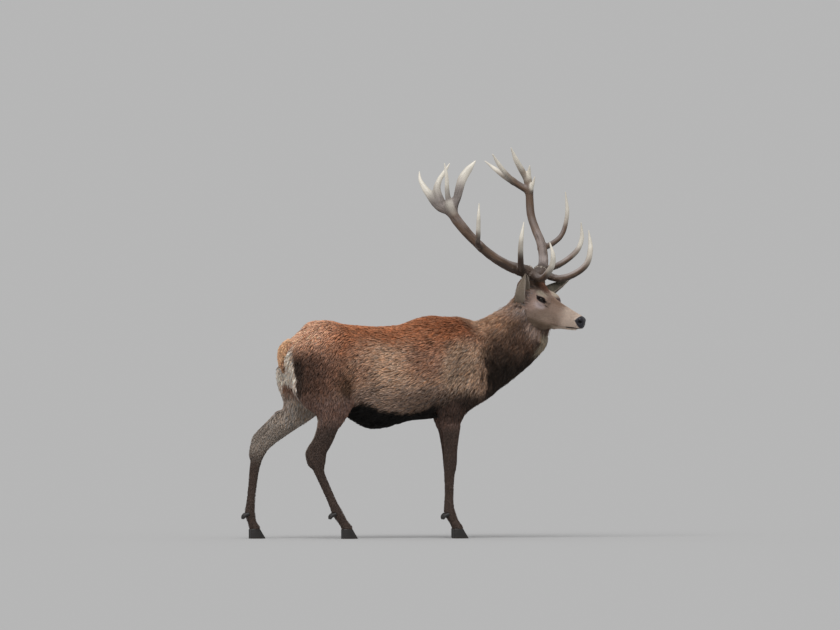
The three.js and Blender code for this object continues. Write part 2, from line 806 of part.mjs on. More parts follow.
const TREZ_SHARE = 0.66; // how far up a beam it is divided

// Places are forward, outward and up from the point midway between the burrs.
function curveOf(places, side) {
  const points = places.map(([ahead, out, up]) => onCrown(ahead, side * out, up));
  return new THREE.CatmullRomCurve3(points, false, "centripetal");
}

const BEAM = [
  [-2, 46, -14],
  [-6, 78, 6],
  [-30, 130, 22],
  [-62, 200, 45],
  [-125, 305, 115],
  [-174, 360, 180],
  [-222, 391, 242],
];
const BEAM_RADII = [38, 33, 28, 26, 25, 25];
const BROW_TINE = (lift) => [
  [10, 56, 2],
  [48, 76, -16],
  [100, 100, -30],
  [170, 150, -5],
  [226, 186, 50],
  [240, 205, 100 + 0.45 * lift],
  [225, 213, 167 + lift],
];
const BEZ_TINE = [
  [-18, 106, 18],
  [12, 165, 30],
  [50, 235, 62],
  [94, 310, 128],
  [111, 330, 190],
  [117, 313, 280],
];
const TREZ_TINE = (lift) => [
  [-147, 326, 140],
  [-128, 400, 162],
  [-92, 456, 215],
  [-73, 483, 310 + 0.3 * lift],
  [-77, 472, 383 + lift],
];

const ANTLERS = [
  {
    name: "antler_right",
    side: -1,
    lift: 0,
    crown: { places: [[-285, 410, 330], [-300, 414, 382]], radii: [28, 28, 26] },
    tines: {
      crown_rear: {
        places: [
          [-300, 410, 344],
          [-363, 415, 372],
          [-419, 420, 428],
          [-462, 424, 478],
          [-487, 424, 522],
          [-493, 420, 561],
        ],
        radii: [26, 30, 27, 20, 12, 3],
      },
      crown_middle: {
        places: [
          [-362, 416, 400],
          [-386, 410, 461],
          [-379, 395, 514],
          [-358, 380, 556],
          [-334, 360, 606],
        ],
        radii: [24, 22, 15, 11, 3],
      },
      crown_front: {
        places: [
          [-302, 412, 362],
          [-305, 422, 405],
          [-305, 435, 461],
          [-297, 452, 517],
          [-296, 463, 561],
          [-301, 470, 606],
        ],
        radii: [17, 15, 13, 11, 9, 3],
      },
      crown_blade: {
        places: [
          [-284, 408, 350],
          [-264, 400, 411],
          [-257, 385, 461],
          [-253, 365, 511],
          [-240, 345, 550],
          [-202, 300, 622],
        ],
        radii: [20, 21, 23, 25, 20, 3],
      },
    },
  },
  {
    name: "antler_left",
    side: 1,
    lift: 70,
    crown: { places: [[-265, 410, 330], [-285, 425, 460], [-300, 430, 545]], radii: [23, 22, 22, 21, 19] },
    tines: {
      crown_rear: {
        places: [
          [-287, 425, 458],
          [-330, 400, 490],
          [-390, 373, 530],
          [-470, 372, 580],
          [-545, 380, 628],
        ],
        radii: [19, 18, 17, 12, 3],
      },
      crown_inner: {
        places: [
          [-362, 382, 515],
          [-386, 335, 560],
          [-402, 280, 615],
          [-410, 235, 664],
        ],
        radii: [15, 14, 12, 3],
      },
      crown_middle: {
        places: [
          [-298, 429, 520],
          [-318, 395, 580],
          [-326, 350, 634],
          [-331, 304, 700],
        ],
        radii: [18, 17, 14, 3],
      },
      crown_front: { places: [[-294, 428, 524], [-284, 420, 560], [-270, 406, 602]], radii: [15, 12, 3] },
      crown_snag: { places: [[-284, 424, 450], [-262, 422, 496], [-245, 420, 538]], radii: [14, 11, 3] },
    },
  },
];

for (const { name, side, lift, crown, tines } of ANTLERS) {
  const places = [...BEAM, ...crown.places];
  const beam = { places, radii: [...BEAM_RADII, ...crown.radii], around: 9 };
  const bars = {
    beam_lower: { ...beam, rings: 11, span: [0, TREZ_SHARE] },
    beam_upper: { ...beam, rings: 6, span: [TREZ_SHARE, 1] },
    brow: { places: BROW_TINE(lift), radii: [22, 19, 18, 17, 14, 3], rings: 9 },
    bez: { places: BEZ_TINE, radii: [20, 17, 16, 15, 12, 3], rings: 9 },
    trez: { places: TREZ_TINE(lift), radii: [18, 15, 13, 11, 3], rings: 8 },
    ...tines,
  };
  const tools = [swollenHead, swollenNeck];
  for (const [key, { places, radii, ...shape }] of Object.entries(bars)) {
    const curve = curveOf(places, side);
    const bar = tube(curve, radii, shape);
    const colour = key.startsWith("beam") ? COLOURS.antler : COLOURS.tine;
    // the upper beam goes on from the lower one, so nothing is cut from it
    addPiece(`${name}_${key}`, key === "beam_upper" ? bar : cut(bar, ...tools), colour, 0.7);
    tools.push(tube(curve, radii, { ...shape, swell: GAP }));
  }
}

// ---------------------------------------------------------------- the group stands over the origin

const whole = new THREE.Box3().setFromObject(stag);
const middle = whole.getCenter(new THREE.Vector3());
stag.position.set(-middle.x, -middle.y, -whole.min.z);
stag.updateMatrixWorld(true);

export default stag;
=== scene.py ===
"""A life-size red deer stag in mid stride: skin, coat, antlers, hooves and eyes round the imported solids.

Shapes are worked out in millimetres, in the stag's own frame: +X from tail to chest, +Y to the stag's
left, +Z up from the floor, measured from under the middle of the body. The flesh is one smooth field,
ellipses carried along spine, limbs and muscles and melted together. The skin is the surface where that
field, drawn in by the depth of the coat, is zero: a net pulled through a grid, because forks and folds
leave no two parameters to hang it on. The coat is tufts rooted on the skin and lying as hair lies.
"""

import bpy
import numpy as np
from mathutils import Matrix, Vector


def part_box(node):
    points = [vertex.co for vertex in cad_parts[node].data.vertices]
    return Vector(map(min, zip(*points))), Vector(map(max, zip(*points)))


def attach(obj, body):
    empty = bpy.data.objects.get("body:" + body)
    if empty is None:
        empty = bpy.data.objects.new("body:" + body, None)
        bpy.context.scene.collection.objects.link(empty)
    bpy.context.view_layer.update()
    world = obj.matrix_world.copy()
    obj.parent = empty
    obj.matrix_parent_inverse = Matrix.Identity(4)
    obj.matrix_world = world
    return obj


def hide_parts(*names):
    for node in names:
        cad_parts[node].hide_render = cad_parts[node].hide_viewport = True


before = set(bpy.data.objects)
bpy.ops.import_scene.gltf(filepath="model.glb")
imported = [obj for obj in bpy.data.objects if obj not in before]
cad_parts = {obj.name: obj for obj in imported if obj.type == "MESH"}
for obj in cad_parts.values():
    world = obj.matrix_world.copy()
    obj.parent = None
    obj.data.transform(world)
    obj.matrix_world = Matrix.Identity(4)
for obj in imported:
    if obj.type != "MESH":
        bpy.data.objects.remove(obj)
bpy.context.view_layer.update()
rng = np.random.default_rng(1847)
MM = 0.001

# ---------------- frames of the head

LEG_SPREAD = 108  # from the middle of the body out to the middle of a foot
BROW = np.array([652.0, -130.0, 1472.0])  # midway between the antler burrs
HEAD_YAW = np.radians(-46)
HEAD_PITCH = np.radians(24.4)  # how far the nose points down
EYE_ALONG, EYE_OUT, EYE_UP, EYE_RADIUS = 136, 65, -100, 21.5
UP = np.array([0.0, 0.0, 1.0])
FORWARD = np.array([1.0, 0.0, 0.0])

crown_ahead = np.array([np.cos(HEAD_YAW), np.sin(HEAD_YAW), 0.0])
head_left = np.array([-np.sin(HEAD_YAW), np.cos(HEAD_YAW), 0.0])
face_ahead = np.cos(HEAD_PITCH) * crown_ahead - np.sin(HEAD_PITCH) * UP
face_up = np.sin(HEAD_PITCH) * crown_ahead + np.cos(HEAD_PITCH) * UP
CROWN = np.array([crown_ahead, head_left, UP])  # rows: ahead, left, up
FACE = np.array([face_ahead, head_left, face_up])  # rows: along the nose, left, out of the brow


def on_face(place):
    """Places along the nose, to the left and out of the brow, in the stag's frame."""
    return BROW + np.asarray(place, float) @ FACE


def on_crown(place):
    """Places level ahead, left and up from between the burrs, in the stag's frame."""
    return BROW + np.asarray(place, float) @ CROWN


def to_face(points):
    """Points of the stag's frame measured along the nose, to the left and out of the brow."""
    return (points - BROW) @ FACE.T


def mirrored(points):
    """Points of both sides, laid on the left one."""
    return points * [1, 0, 1] + np.abs(points[:, 1:2]) * [0, 1, 0]


def unit(v):
    """Vectors of length one."""
    return v / np.maximum(np.linalg.norm(v, axis=-1, keepdims=True), 1e-9)


def ramp(low, high, v):
    """A smooth step: 0 at low, 1 at high, level at both ends."""
    t = np.clip((v - low) / (high - low), 0, 1)
    return t * t * (3 - 2 * t)


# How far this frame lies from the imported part's, measured on the right eye.
eye_low, eye_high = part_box("eye_right")
eye_centre = (np.array(eye_low) + np.array(eye_high)) / 2 / MM
SHIFT = eye_centre - on_face([EYE_ALONG, -EYE_OUT, EYE_UP])
SHIFT[2] = 0.0

# ---------------- meshes from arrays


def in_scene(name, data):
    """A new object in the scene."""
    made = bpy.data.objects.new(name, data)
    bpy.context.scene.collection.objects.link(made)
    return made


def mesh_piece(name, material, points, quads=None, tris=None, colours=None):
    """A mesh object from arrays of points in the stag's millimetres, of quads and triangles, and of
    each point's linear colour."""
    quads = np.zeros((0, 4), int) if quads is None else np.asarray(quads)
    tris = np.zeros((0, 3), int) if tris is None else np.asarray(tris)
    corners = np.concatenate([quads.ravel(), tris.ravel()]).astype(np.int32)
    sizes = np.concatenate([np.full(len(quads), 4), np.full(len(tris), 3)]).astype(np.int32)
    starts = np.concatenate([[0], np.cumsum(sizes)[:-1]]).astype(np.int32)
    mesh = bpy.data.meshes.new(name)
    mesh.vertices.add(len(points))
    mesh.vertices.foreach_set("co", ((points + SHIFT) * MM).astype(np.float32).ravel())
    mesh.loops.add(len(corners))
    mesh.loops.foreach_set("vertex_index", corners)
    mesh.polygons.add(len(sizes))
    mesh.polygons.foreach_set("loop_start", starts)
    mesh.polygons.foreach_set("loop_total", sizes)
    mesh.update(calc_edges=True)
    mesh.validate()
    mesh.shade_smooth()
    piece = in_scene(name, mesh)
    mesh.materials.append(material)
    if colours is not None:
        rgba = np.ones((len(points), 4), np.float32)
        rgba[:, :3] = colours
        marking = mesh.color_attributes.new("marking", "FLOAT_COLOR", "POINT")
        marking.data.foreach_set("color", rgba.ravel())
    return piece


def set_number(piece, numbers, name):
    """Gives each vertex one number."""
    attribute = piece.data.attributes.new(name, "FLOAT", "POINT")
    attribute.data.foreach_set("value", np.asarray(numbers, np.float32))


def set_places(piece, places):
    """Gives each vertex its place on the OFBake map."""
    corner = np.zeros(len(piece.data.loops), np.int32)
    piece.data.loops.foreach_get("vertex_index", corner)
    layer = piece.data.uv_layers.new(name="OFBake")
    layer.data.foreach_set("uv", places[corner].astype(np.float32).ravel())


def linear(colour):
    """sRGB hex to linear red, green and blue."""
    c = np.array([int(colour[i : i + 2], 16) for i in (1, 3, 5)]) / 255
    return np.where(c <= 0.04045, c / 12.92, ((c + 0.055) / 1.055) ** 2.4)


def lattice(points, size, seed):
    """Smooth noise from 0 to 1: each corner of a lattice gets a number, scattered by multiplying its
    place and the seed by large primes, and points are blended between the corners round them."""
    q = points / size
    cell = np.floor(q).astype(np.int64)
    f = q - cell
    f = f * f * (3 - 2 * f)
    total = np.zeros(len(points))
    for corner in np.ndindex(2, 2, 2):
        i, j, k = (cell + corner).T
        h = (i * 73856093) ^ (j * 19349663) ^ (k * 83492791) ^ (seed * 2654435761)
        h = (h ^ (h >> 13)) * 1274126177
        value = ((h ^ (h >> 16)) & 0xFFFF) / 65535
        share = np.prod(np.where(corner, f, 1 - f), axis=1)
        total += share * value
    return total


# ---------------- the field of the flesh


AWAY = 400.0  # the distance given to points too far from a part to matter
SPARE = 40  # a part is worked out this far beyond its reach


def curved(a, b, c, d, steps):
    """Places on Catmull-Rom curves from b towards c, where a comes before b and d after c."""
    t = (np.arange(steps) / steps)[None, :, None]
    return b + 0.5 * t * (c - a + t * (2 * a - 5 * b + 4 * c - d + t * (3 * b - a - 3 * c + d)))


def through(rows, steps=5):
    """Rows of numbers joined by a curve, with steps places from each row to the next."""
    rows = np.array(rows, float)
    a = np.vstack([rows[:1], rows[:-2]])[:, None]
    b, c = rows[:-1, None], rows[1:, None]
    d = np.vstack([rows[2:], rows[-1:]])[:, None]
    return np.vstack([curved(a, b, c, d, steps).reshape(-1, rows.shape[1]), rows[-1:]])


def on_line(far, stops, line):
    """Places so far along a line, whose points lie at the stops."""
    return np.stack([np.interp(far, stops, line[:, k]) for k in range(3)], -1)


def sweep(rows, upwards, melt):
    """Ellipses carried along a line. A row is a place, half width, height above and depth below the
    line, and the depth of the coat there. melt is how widely the sweep melts into those before it."""
    dense = through(rows)
    start, size = dense[:-1, :3], dense[:, 3:]
    run = dense[1:, :3] - start
    axis = unit(run)
    side = unit(np.cross(upwards, axis))
    rise = np.cross(axis, side)
    length = np.linalg.norm(run, axis=1)
    links = list(zip(start, axis, side, rise, length, size[:-1], size[1:]))
    far = size[:, :3].max(1, keepdims=True) + melt + SPARE
    low = (dense[:, :3] - far).min(0)
    high = (dense[:, :3] + far).max(0)
    return {"links": links, "melt": melt, "low": low, "high": high}


def off_sweep(shape, points, bare):
    """Roughly how far points lie outside a sweep: the least over its links of how far they lie outside
    the ellipse there. bare is 1 for the skin and 0 for the tips of the coat."""
    nearest = np.full(len(points), np.inf)
    for start, axis, side, rise, length, first, last in shape["links"]:
        offset = points - start
        along = offset @ axis
        t = np.clip(along / length, 0, 1)
        size = first + t[:, None] * (last - first)
        coat = bare * size[:, 3]
        wide, high, deep = size[:, 0] - coat, size[:, 1] - coat, size[:, 2] - coat
        upright = offset @ rise
        vertical = upright / np.where(upright > 0, high, deep)
        least = np.minimum(np.minimum(wide, high), deep)
        beyond = (along - t * length) / least
        reach = np.sqrt((offset @ side / wide) ** 2 + vertical**2 + beyond**2)
        np.minimum(nearest, (reach - 1) * least, out=nearest)
    return nearest


def melted(a, b, melt):
    """The smaller of two distances, with the crease between them filled over a width of melt."""
    h = np.maximum(melt - np.abs(a - b), 0) / melt
    return np.minimum(a, b) - h * h * melt / 4


def carved(a, b, melt):
    """The larger of two distances, with the edge between them rounded over a width of melt."""
    return -melted(-a, -b, melt)


# ---------------- anatomy, to the tips of the coat


def both(make):
    """The same for the right side, -1, and the left, +1."""
    return [make(-1), make(1)]


BARREL = [
    [-650, 0, 1000, 112, 126, 165, 18],
    [-590, 0, 990, 156, 176, 215, 20],
    [-500, 0, 975, 190, 222, 245, 20],
    [-360, 0, 955, 203, 234, 275, 20],
    [-200, 0, 930, 214, 252, 312, 20],
    [-40, 0, 930, 222, 268, 284, 20],
    [110, 0, 945, 212, 298, 282, 22],
    [230, 0, 975, 186, 258, 268, 26],
    [300, -3, 1000, 160, 196, 230, 32],
]
NECK = [
    [290, 0, 990, 160, 208, 225, 30],
    [400, -8, 1030, 158, 186, 212, 38],
    [500, -32, 1090, 148, 172, 188, 42],
    [580, -62, 1170, 135, 158, 176, 42],
    [636, -90, 1262, 118, 134, 150, 34],
    [652, -104, 1322, 84, 108, 86, 22],
    [656, -114, 1366, 54, 66, 50, 12],
]
DEWLAP = [
    [500, -25, 966, 70, 66, 66, 36],
    [600, -62, 1034, 72, 58, 60, 36],
    [668, -98, 1105, 66, 52, 52, 34],
]
SHEATH = [
    [-330, 0, 690, 40, 40, 36, 16],
    [-250, 0, 655, 44, 40, 46, 18],
    [-150, 0, 668, 38, 30, 34, 16],
]
SHOULDER = [
    [190, 95, 1150, 62, 75, 75, 20],
    [275, 130, 1010, 72, 100, 110, 20],
    [330, 128, 885, 66, 84, 96, 20],
    [290, 124, 815, 60, 70, 84, 18],
]
UPPER_ARM = [
    [310, 120, 860, 58, 64, 80, 18],
    [235, 126, 785, 58, 70, 84, 16],
    [180, 124, 735, 52, 66, 74, 14],
]
HAUNCH = [
    [-480, 88, 1105, 84, 110, 150, 18],
    [-545, 105, 985, 90, 150, 174, 18],
    [-538, 115, 880, 88, 150, 182, 16],
    [-520, 120, 832, 64, 122, 158, 14],
]
# Rows of the fore legs start with two places along the body, the right leg's and the left leg's.
FORE_LEGS = [
    [215, 245, 120, 800, 68, 96, 92, 16],
    [174, 206, 122, 705, 58, 78, 78, 12],
    [176, 214, 116, 600, 46, 52, 50, 9],
    [175, 220, 110, 500, 35, 40, 37, 6],
    [174, 226, LEG_SPREAD, 412, 33, 37, 34, 5],
    [172, 226, LEG_SPREAD, 350, 25, 27, 30, 4],
    [170, 225, LEG_SPREAD, 265, 21, 23, 26, 4],
    [170, 225, LEG_SPREAD, 190, 22, 24, 29, 4],
    [174, 229, LEG_SPREAD, 145, 28, 29, 34, 5],
    [198, 253, LEG_SPREAD, 92, 28, 25, 27, 5],
    [218, 273, LEG_SPREAD, 55, 33, 30, 30, 5],
]
RIGHT_HIND_LEG = [
    [-520, 122, 860, 82, 150, 196, 14],
    [-505, 130, 745, 74, 112, 146, 12],
    [-532, 128, 645, 56, 73, 56, 9],
    [-556, 123, 560, 42, 59, 38, 7],
    [-584, 119, 495, 35, 53, 44, 6],
    [-588, 116, 438, 34, 47, 48, 5],
    [-574, 112, 365, 26, 27, 30, 5],
    [-538, LEG_SPREAD, 285, 22, 24, 26, 4],
    [-497, LEG_SPREAD, 195, 22, 24, 27, 4],
    [-474, LEG_SPREAD, 148, 28, 28, 33, 5],
    [-441, LEG_SPREAD, 94, 27, 25, 27, 5],
    [-417, LEG_SPREAD, 56, 33, 30, 30, 5],
]
LEFT_HIND_LEG = [
    [-560, 122, 870, 84, 150, 200, 14],
    [-595, 128, 770, 76, 112, 158, 12],
    [-655, 128, 690, 58, 76, 86, 9],
    [-745, 124, 610, 44, 56, 54, 7],
    [-820, 120, 545, 36, 46, 46, 6],
    [-866, 116, 480, 33, 39, 42, 5],
    [-888, 112, 400, 26, 29, 31, 5],
    [-901, LEG_SPREAD, 310, 22, 25, 26, 4],
    [-912, LEG_SPREAD, 200, 22, 24, 27, 4],
    [-916, LEG_SPREAD, 148, 28, 28, 33, 5],
    [-906, LEG_SPREAD, 94, 27, 25, 27, 5],
    [-890, LEG_SPREAD, 56, 33, 30, 30, 5],
]
# The tendon above each hock and the heel bone that it pulls on.
RIGHT_HEEL = [
    [-566, 126, 640, 20, 22, 20, 6],
    [-601, 122, 545, 15, 16, 16, 5],
    [-640, 118, 480, 16, 19, 17, 4],
    [-624, 116, 420, 19, 22, 21, 4],
]
LEFT_HEEL = [
    [-742, 126, 690, 20, 22, 22, 6],
    [-838, 122, 606, 16, 18, 18, 5],
    [-886, 118, 552, 17, 20, 17, 4],
    [-896, 116, 470, 19, 22, 20, 4],
]
TAIL = [
    [-716, 0, 1082, 36, 28, 28, 12],
    [-752, 0, 1056, 36, 27, 26, 13],
    [-768, 0, 1004, 31, 22, 22, 12],
    [-766, 0, 962, 20, 14, 14, 8],
]
# Rows of the head are along, left and up on the face.
SKULL = [
    [-12, 0, -84, 52, 56, 74, 9],
    [35, 0, -92, 66, 80, 106, 9],
    [85, 0, -116, 72, 76, 118, 7],
    [145, 0, -136, 64, 72, 112, 5],
    [210, 0, -150, 52, 73, 94, 4],
    [280, 0, -148, 42, 65, 68, 3],
    [340, 0, -140, 37, 52, 54, 2],
    [376, 0, -132, 35, 42, 44, 1],
]
BROW_RIDGE = [[104, 54, -84, 24, 26, 30, 4], [142, 66, -88, 25, 26, 28, 3], [172, 54, -98, 20, 22, 26, 3]]
CHEEK = [[96, 46, -150, 30, 34, 34, 5], [130, 42, -200, 30, 36, 34, 5], [200, 30, -205, 24, 26, 28, 4]]
NOSTRIL = [[352, 20, -124, 18, 20, 20, 1], [384, 18, -120, 18, 20, 22, 1]]


def on_side(rows, side):
    """Rows moved to one side of the body."""
    return [[x, side * y, *rest] for x, y, *rest in rows]


def on_head(rows, side=1):
    """Rows given on the face, moved to the stag's frame."""
    return [[*on_face([along, side * left, up]), *rest] for along, left, up, *rest in rows]


def haunch_rows(side):
    """A thigh's rows. Low down, the left thigh is thrown further back than the right one."""
    left_places = {880: -560, 832: -570}  # height, and the place along the body there
    return [[left_places.get(z, x) if side > 0 else x, side * y, z, *rest] for x, y, z, *rest in HAUNCH]


def pedicle_rows(side):
    """The bony stump under an antler."""
    foot = on_crown([12, side * 44, -50])
    top = on_crown([2, side * 50, -12])
    return [[*foot, 30, 30, 30, 8], [*top, 27, 27, 27, 4]]


LEG_LINES = {
    "front_right": on_side([[x, *rest] for x, _, *rest in FORE_LEGS], -1),
    "front_left": on_side([[x, *rest] for _, x, *rest in FORE_LEGS], 1),
    "hind_right": on_side(RIGHT_HIND_LEG, -1),
    "hind_left": on_side(LEFT_HIND_LEG, 1),
}
HEEL_LINES = {"hind_right": on_side(RIGHT_HEEL, -1), "hind_left": on_side(LEFT_HEEL, 1)}


def leg_sweeps(name):
    """A leg, and the heel of a hind leg."""
    heels = [sweep(HEEL_LINES[name], FORWARD, 26)] if name in HEEL_LINES else []
    return [sweep(LEG_LINES[name], FORWARD, 40), *heels]


PARTS = {
    "torso": [
        sweep(BARREL, UP, 60),
        *both(lambda side: sweep(on_side(SHOULDER, side), FORWARD, 60)),
        *both(lambda side: sweep(on_side(UPPER_ARM, side), FORWARD, 50)),
        *both(lambda side: sweep(haunch_rows(side), FORWARD, 60)),
        sweep(SHEATH, UP, 40),
    ],
    "neck": [sweep(NECK, UP, 90), sweep(DEWLAP, UP, 60)],
    **{f"leg_{name}": leg_sweeps(name) for name in LEG_LINES},
    "tail": [sweep(TAIL, np.array([-1, 0, 0.6]), 12)],
    "head": [
        sweep(on_head(SKULL), face_up, 40),
        *both(lambda side: sweep(on_head(BROW_RIDGE, side), face_up, 16)),
        *both(lambda side: sweep(on_head(CHEEK, side), face_up, 30)),
        *both(lambda side: sweep(on_head(NOSTRIL, side), face_up, 14)),
        *both(lambda side: sweep(pedicle_rows(side), face_ahead, 20)),
    ],
}
# How widely each kind of part melts into the parts before it.
MELTS = {"neck": 70, "leg": 40, "tail": 30, "head": 34, "ear": 12}

# ---------------- ears

EAR_LENGTH, EAR_WIDTH, EAR_SKIN, EAR_COAT = 205, 92, 6.5, 3.0
# How far along an ear, and there its half width and how deeply it is cupped, as shares of its width.
EAR_CUP = np.array(
    [
        [-0.2, 0.26, 0.55],
        [0, 0.3, 0.62],
        [0.12, 0.43, 0.72],
        [0.28, 0.48, 0.7],
        [0.45, 0.48, 0.6],
        [0.62, 0.42, 0.47],
        [0.78, 0.31, 0.32],
        [0.92, 0.16, 0.16],
        [1, 0.05, 0.06],
    ]
)
EAR_REACH = 190  # no ear reaches further from its own middle
# An ear's root and tip on the crown, and the way that its hollow faces.
EARS = {
    "ear_right": ([-52, -72, -142], [48, -182, -8], [1, 0.18, -0.1]),
    "ear_left": ([-20, 70, -128], [135, 185, -22], [0.6, 0.2, -0.9]),
}


def ear_frame(name):
    """An ear's root, and its axis, its side and the way its hollow faces."""
    root, tip, opening = EARS[name]
    root, tip = on_crown(root), on_crown(tip)
    axis = unit(tip - root)
    side = unit(np.cross(np.array(opening) @ CROWN, axis))
    return root, axis, side, np.cross(axis, side)


def ear_width(along):
    """Half an ear's width, where along runs from 0 at its root to 1 at its tip."""
    return EAR_WIDTH * np.interp(along, EAR_CUP[:, 0], EAR_CUP[:, 1])


def off_ear(name, points, bare):
    """How far points lie outside a curled sheet: half an ellipse across, narrowing to the tip."""
    root, axis, side, front = ear_frame(name)
    offset = points - root
    along = offset @ axis / EAR_LENGTH
    wide = ear_width(along)
    cup = EAR_WIDTH * np.interp(along, EAR_CUP[:, 0], EAR_CUP[:, 2])
    across = offset @ side
    rise = offset @ front - cup / 2
    reach = np.sqrt((across / wide) ** 2 + (rise / cup) ** 2) + 1e-6
    off = reach * (reach - 1) / np.sqrt((across / wide**2) ** 2 + (rise / cup**2) ** 2 + 1e-9)
    half = EAR_SKIN / 2 + (1 - bare) * EAR_COAT
    sheet = np.abs(off + EAR_SKIN / 2 + EAR_COAT) - half
    # open in front, and ended at the tip and inside the head
    sheet = carved(sheet, rise - 2, 5)
    sheet = carved(sheet, (along - 1) * EAR_LENGTH, 3)
    return carved(sheet, (-0.14 - along) * EAR_LENGTH, 3)


# ---------------- folds of the face

LID = 3.2  # thickness of an eyelid
LIDS_END = 60  # no lid reaches further from the middle of the eye
ALMOND_LONG, ALMOND_HIGH = 22.0, 10.5  # half the opening between the lids
# Places on the left side of the face. Lines are pairs of ends.
TEAR_PIT = [[166, 60, -119], [190, 52, -125]]
TEAR_SKIN = [[168, 60, -120], [189, 52, -125]]
NOSTRIL_PIT, NOSTRIL_REACH = [393, 26, -121], [10, 12, 7.5]
NOSTRIL_SLIT = [[390, 34, -117], [372, 40, -107]]  # it runs up and back from the pit
PHILTRUM = [[412, 0, -128], [408, 0, -156]]
LIP_LINE = np.array([[262, -205], [325, -183], [372, -167], [404, -160]])  # along and up
FACE_MIDDLE, FACE_REACH = [200, 0, -130], 260  # a ball that holds every fold of the face


def eye_frame(side):
    """An eye's centre on the face, the way it looks, the way to its inner corner, and its up."""
    centre = np.array([EYE_ALONG, side * EYE_OUT, EYE_UP])
    look = unit(np.array([0.34, side * 1.0, 0.08]))
    inner = np.array([1.0, 0.0, -0.06])
    inner = unit(inner - (inner @ look) * look)
    up = np.cross(look, inner) * side
    return centre, look, inner, up if up[2] > 0 else -up


def on_eye(face_points, side):
    """Distance from an eye's centre, how far towards its gaze, and places across and up the almond."""
    centre, look, inner, up = eye_frame(side)
    offset = face_points - centre
    far = np.linalg.norm(offset, axis=1) + 1e-6
    scale = EYE_RADIUS / far
    across = offset @ inner * scale
    upright = offset @ up * scale
    return far, offset @ look, across, upright


def almond(across, upright):
    """1 at the edge of the lids: an ellipse pinched towards its corners, fuller above."""
    high = np.where(upright > 0, ALMOND_HIGH * 1.1, ALMOND_HIGH * 0.85)
    pinch = 1 - 0.35 * np.clip(np.abs(across) / ALMOND_LONG, 0, 1) ** 2
    return np.sqrt((across / ALMOND_LONG) ** 2 + (upright / (high * pinch)) ** 2)


def groove(face, ends, width, side=1):
    """1 on the line between two ends, given for the left side, falling away over its width."""
    start, end = np.array(ends, float) * [1, side, 1]
    run = end - start
    t = np.clip((face - start) @ run / (run @ run), 0, 1)
    off = np.linalg.norm(face - start - t[:, None] * run, axis=1)
    return np.exp(-((off / width) ** 2))


def in_nostril(face, side):
    """Places in a nostril, as shares of its reach."""
    return (face - np.array(NOSTRIL_PIT) * [1, side, 1]) / NOSTRIL_REACH


def off_lips(face):
    """How high points lie over the line where the lips meet."""
    return face[:, 2] - np.interp(face[:, 0], *LIP_LINE.T)


def folds(field, points):
    """Adds to the head's field its lids, tear pits, nostrils and mouth."""
    face = to_face(points)
    for side in (-1, 1):
        far, gaze, across, upright = on_eye(face, side)
        rim = almond(across, upright)
        near = gaze > 0
        lids = far - EYE_RADIUS - LID
        field = np.where(far < LIDS_END, melted(field, lids, 9), field)
        open_cone = (rim - 1) * ALMOND_HIGH
        cleared = np.maximum(open_cone, EYE_RADIUS - 1.5 - far)
        field = np.where(near & (far < LIDS_END), carved(field, -cleared, 2.2), field)
        crease = np.exp(-(((rim - 1.75) / 0.22) ** 2)) * ramp(0, 6, upright) * near * (far < 40)
        under = np.exp(-(((rim - 1.8) / 0.25) ** 2)) * ramp(0, 6, -upright) * near * (far < 40)
        field = field + 1.8 * crease + 0.9 * under
        field = field + 3.4 * groove(face, TEAR_PIT, 4.5, side)
        field = field + 17 * np.exp(-np.sum(in_nostril(face, side) ** 2, axis=1))
        field = field + 6 * groove(face, NOSTRIL_SLIT, 4.5, side)
    # the mouth: a cleft between the lips, fainter towards its corner, and the lower lip set back
    height = off_lips(face)
    field = field + 3.6 * np.exp(-((height / 4.0) ** 2)) * ramp(312, 332, face[:, 0])
    field = field + 1.2 * np.exp(-((height / 6.0) ** 2)) * ramp(262, 290, face[:, 0])
    field = field + 4.0 * ramp(4, -6, height) * ramp(240, 275, face[:, 0])
    return field + 1.5 * groove(face, PHILTRUM, 3)


# ---------------- the whole body as one field

PART_NAMES = [*PARTS, *EARS]


def part_values(points, bare):
    """How far points lie outside each part."""
    values = {}
    for name, shapes in PARTS.items():
        value = np.full(len(points), AWAY)
        for shape in shapes:
            near = np.all((points > shape["low"]) & (points < shape["high"]), axis=1)
            if near.any():
                value[near] = melted(value[near], off_sweep(shape, points[near], bare), shape["melt"])
        values[name] = value
    for name in EARS:
        root, axis, _, _ = ear_frame(name)
        value = np.full(len(points), AWAY)
        near = np.linalg.norm(points - root - 0.5 * EAR_LENGTH * axis, axis=1) < EAR_REACH
        if near.any():
            value[near] = off_ear(name, points[near], bare)
        values[name] = value
    return values


def flesh(points, bare=1.0, fine=True):
    """The whole body: its parts melted together, and on the skin the folds of the face."""
    values = part_values(points, bare)
    near = np.linalg.norm(points - on_face(FACE_MIDDLE), axis=1) < FACE_REACH
    if fine and bare and near.any():
        values["head"][near] = folds(values["head"][near], points[near])
    body = values["torso"]
    for name in PART_NAMES[1:]:
        body = melted(body, values[name], MELTS[name.split("_")[0]])
    return body


def slope(field, points, value, step=0.7):
    """The field's gradient, by differences from its value at the points."""
    out = np.empty_like(points)
    for k in range(3):
        shift = np.zeros(3)
        shift[k] = step
        out[:, k] = (field(points + shift) - value) / step
    return out


# ---------------- nets pulled over a field


COARSE = 4  # a coarse grid has one step for so many fine ones
BATCH = 400000  # points worked out at a time
CORNERS = np.array(list(np.ndindex(2, 2, 2)))


def spaced(stops):
    """Coordinates in runs of even steps: stops are (from, step) pairs, closed by an end. The count of
    steps is a multiple of COARSE in each run."""
    out = []
    for (a, step), (b, _) in zip(stops[:-1], stops[1:]):
        count = max(1, round((b - a) / step / COARSE)) * COARSE
        out.append(a + (b - a) * np.arange(count) / count)
    return np.concatenate([*out, [stops[-1][0]]])


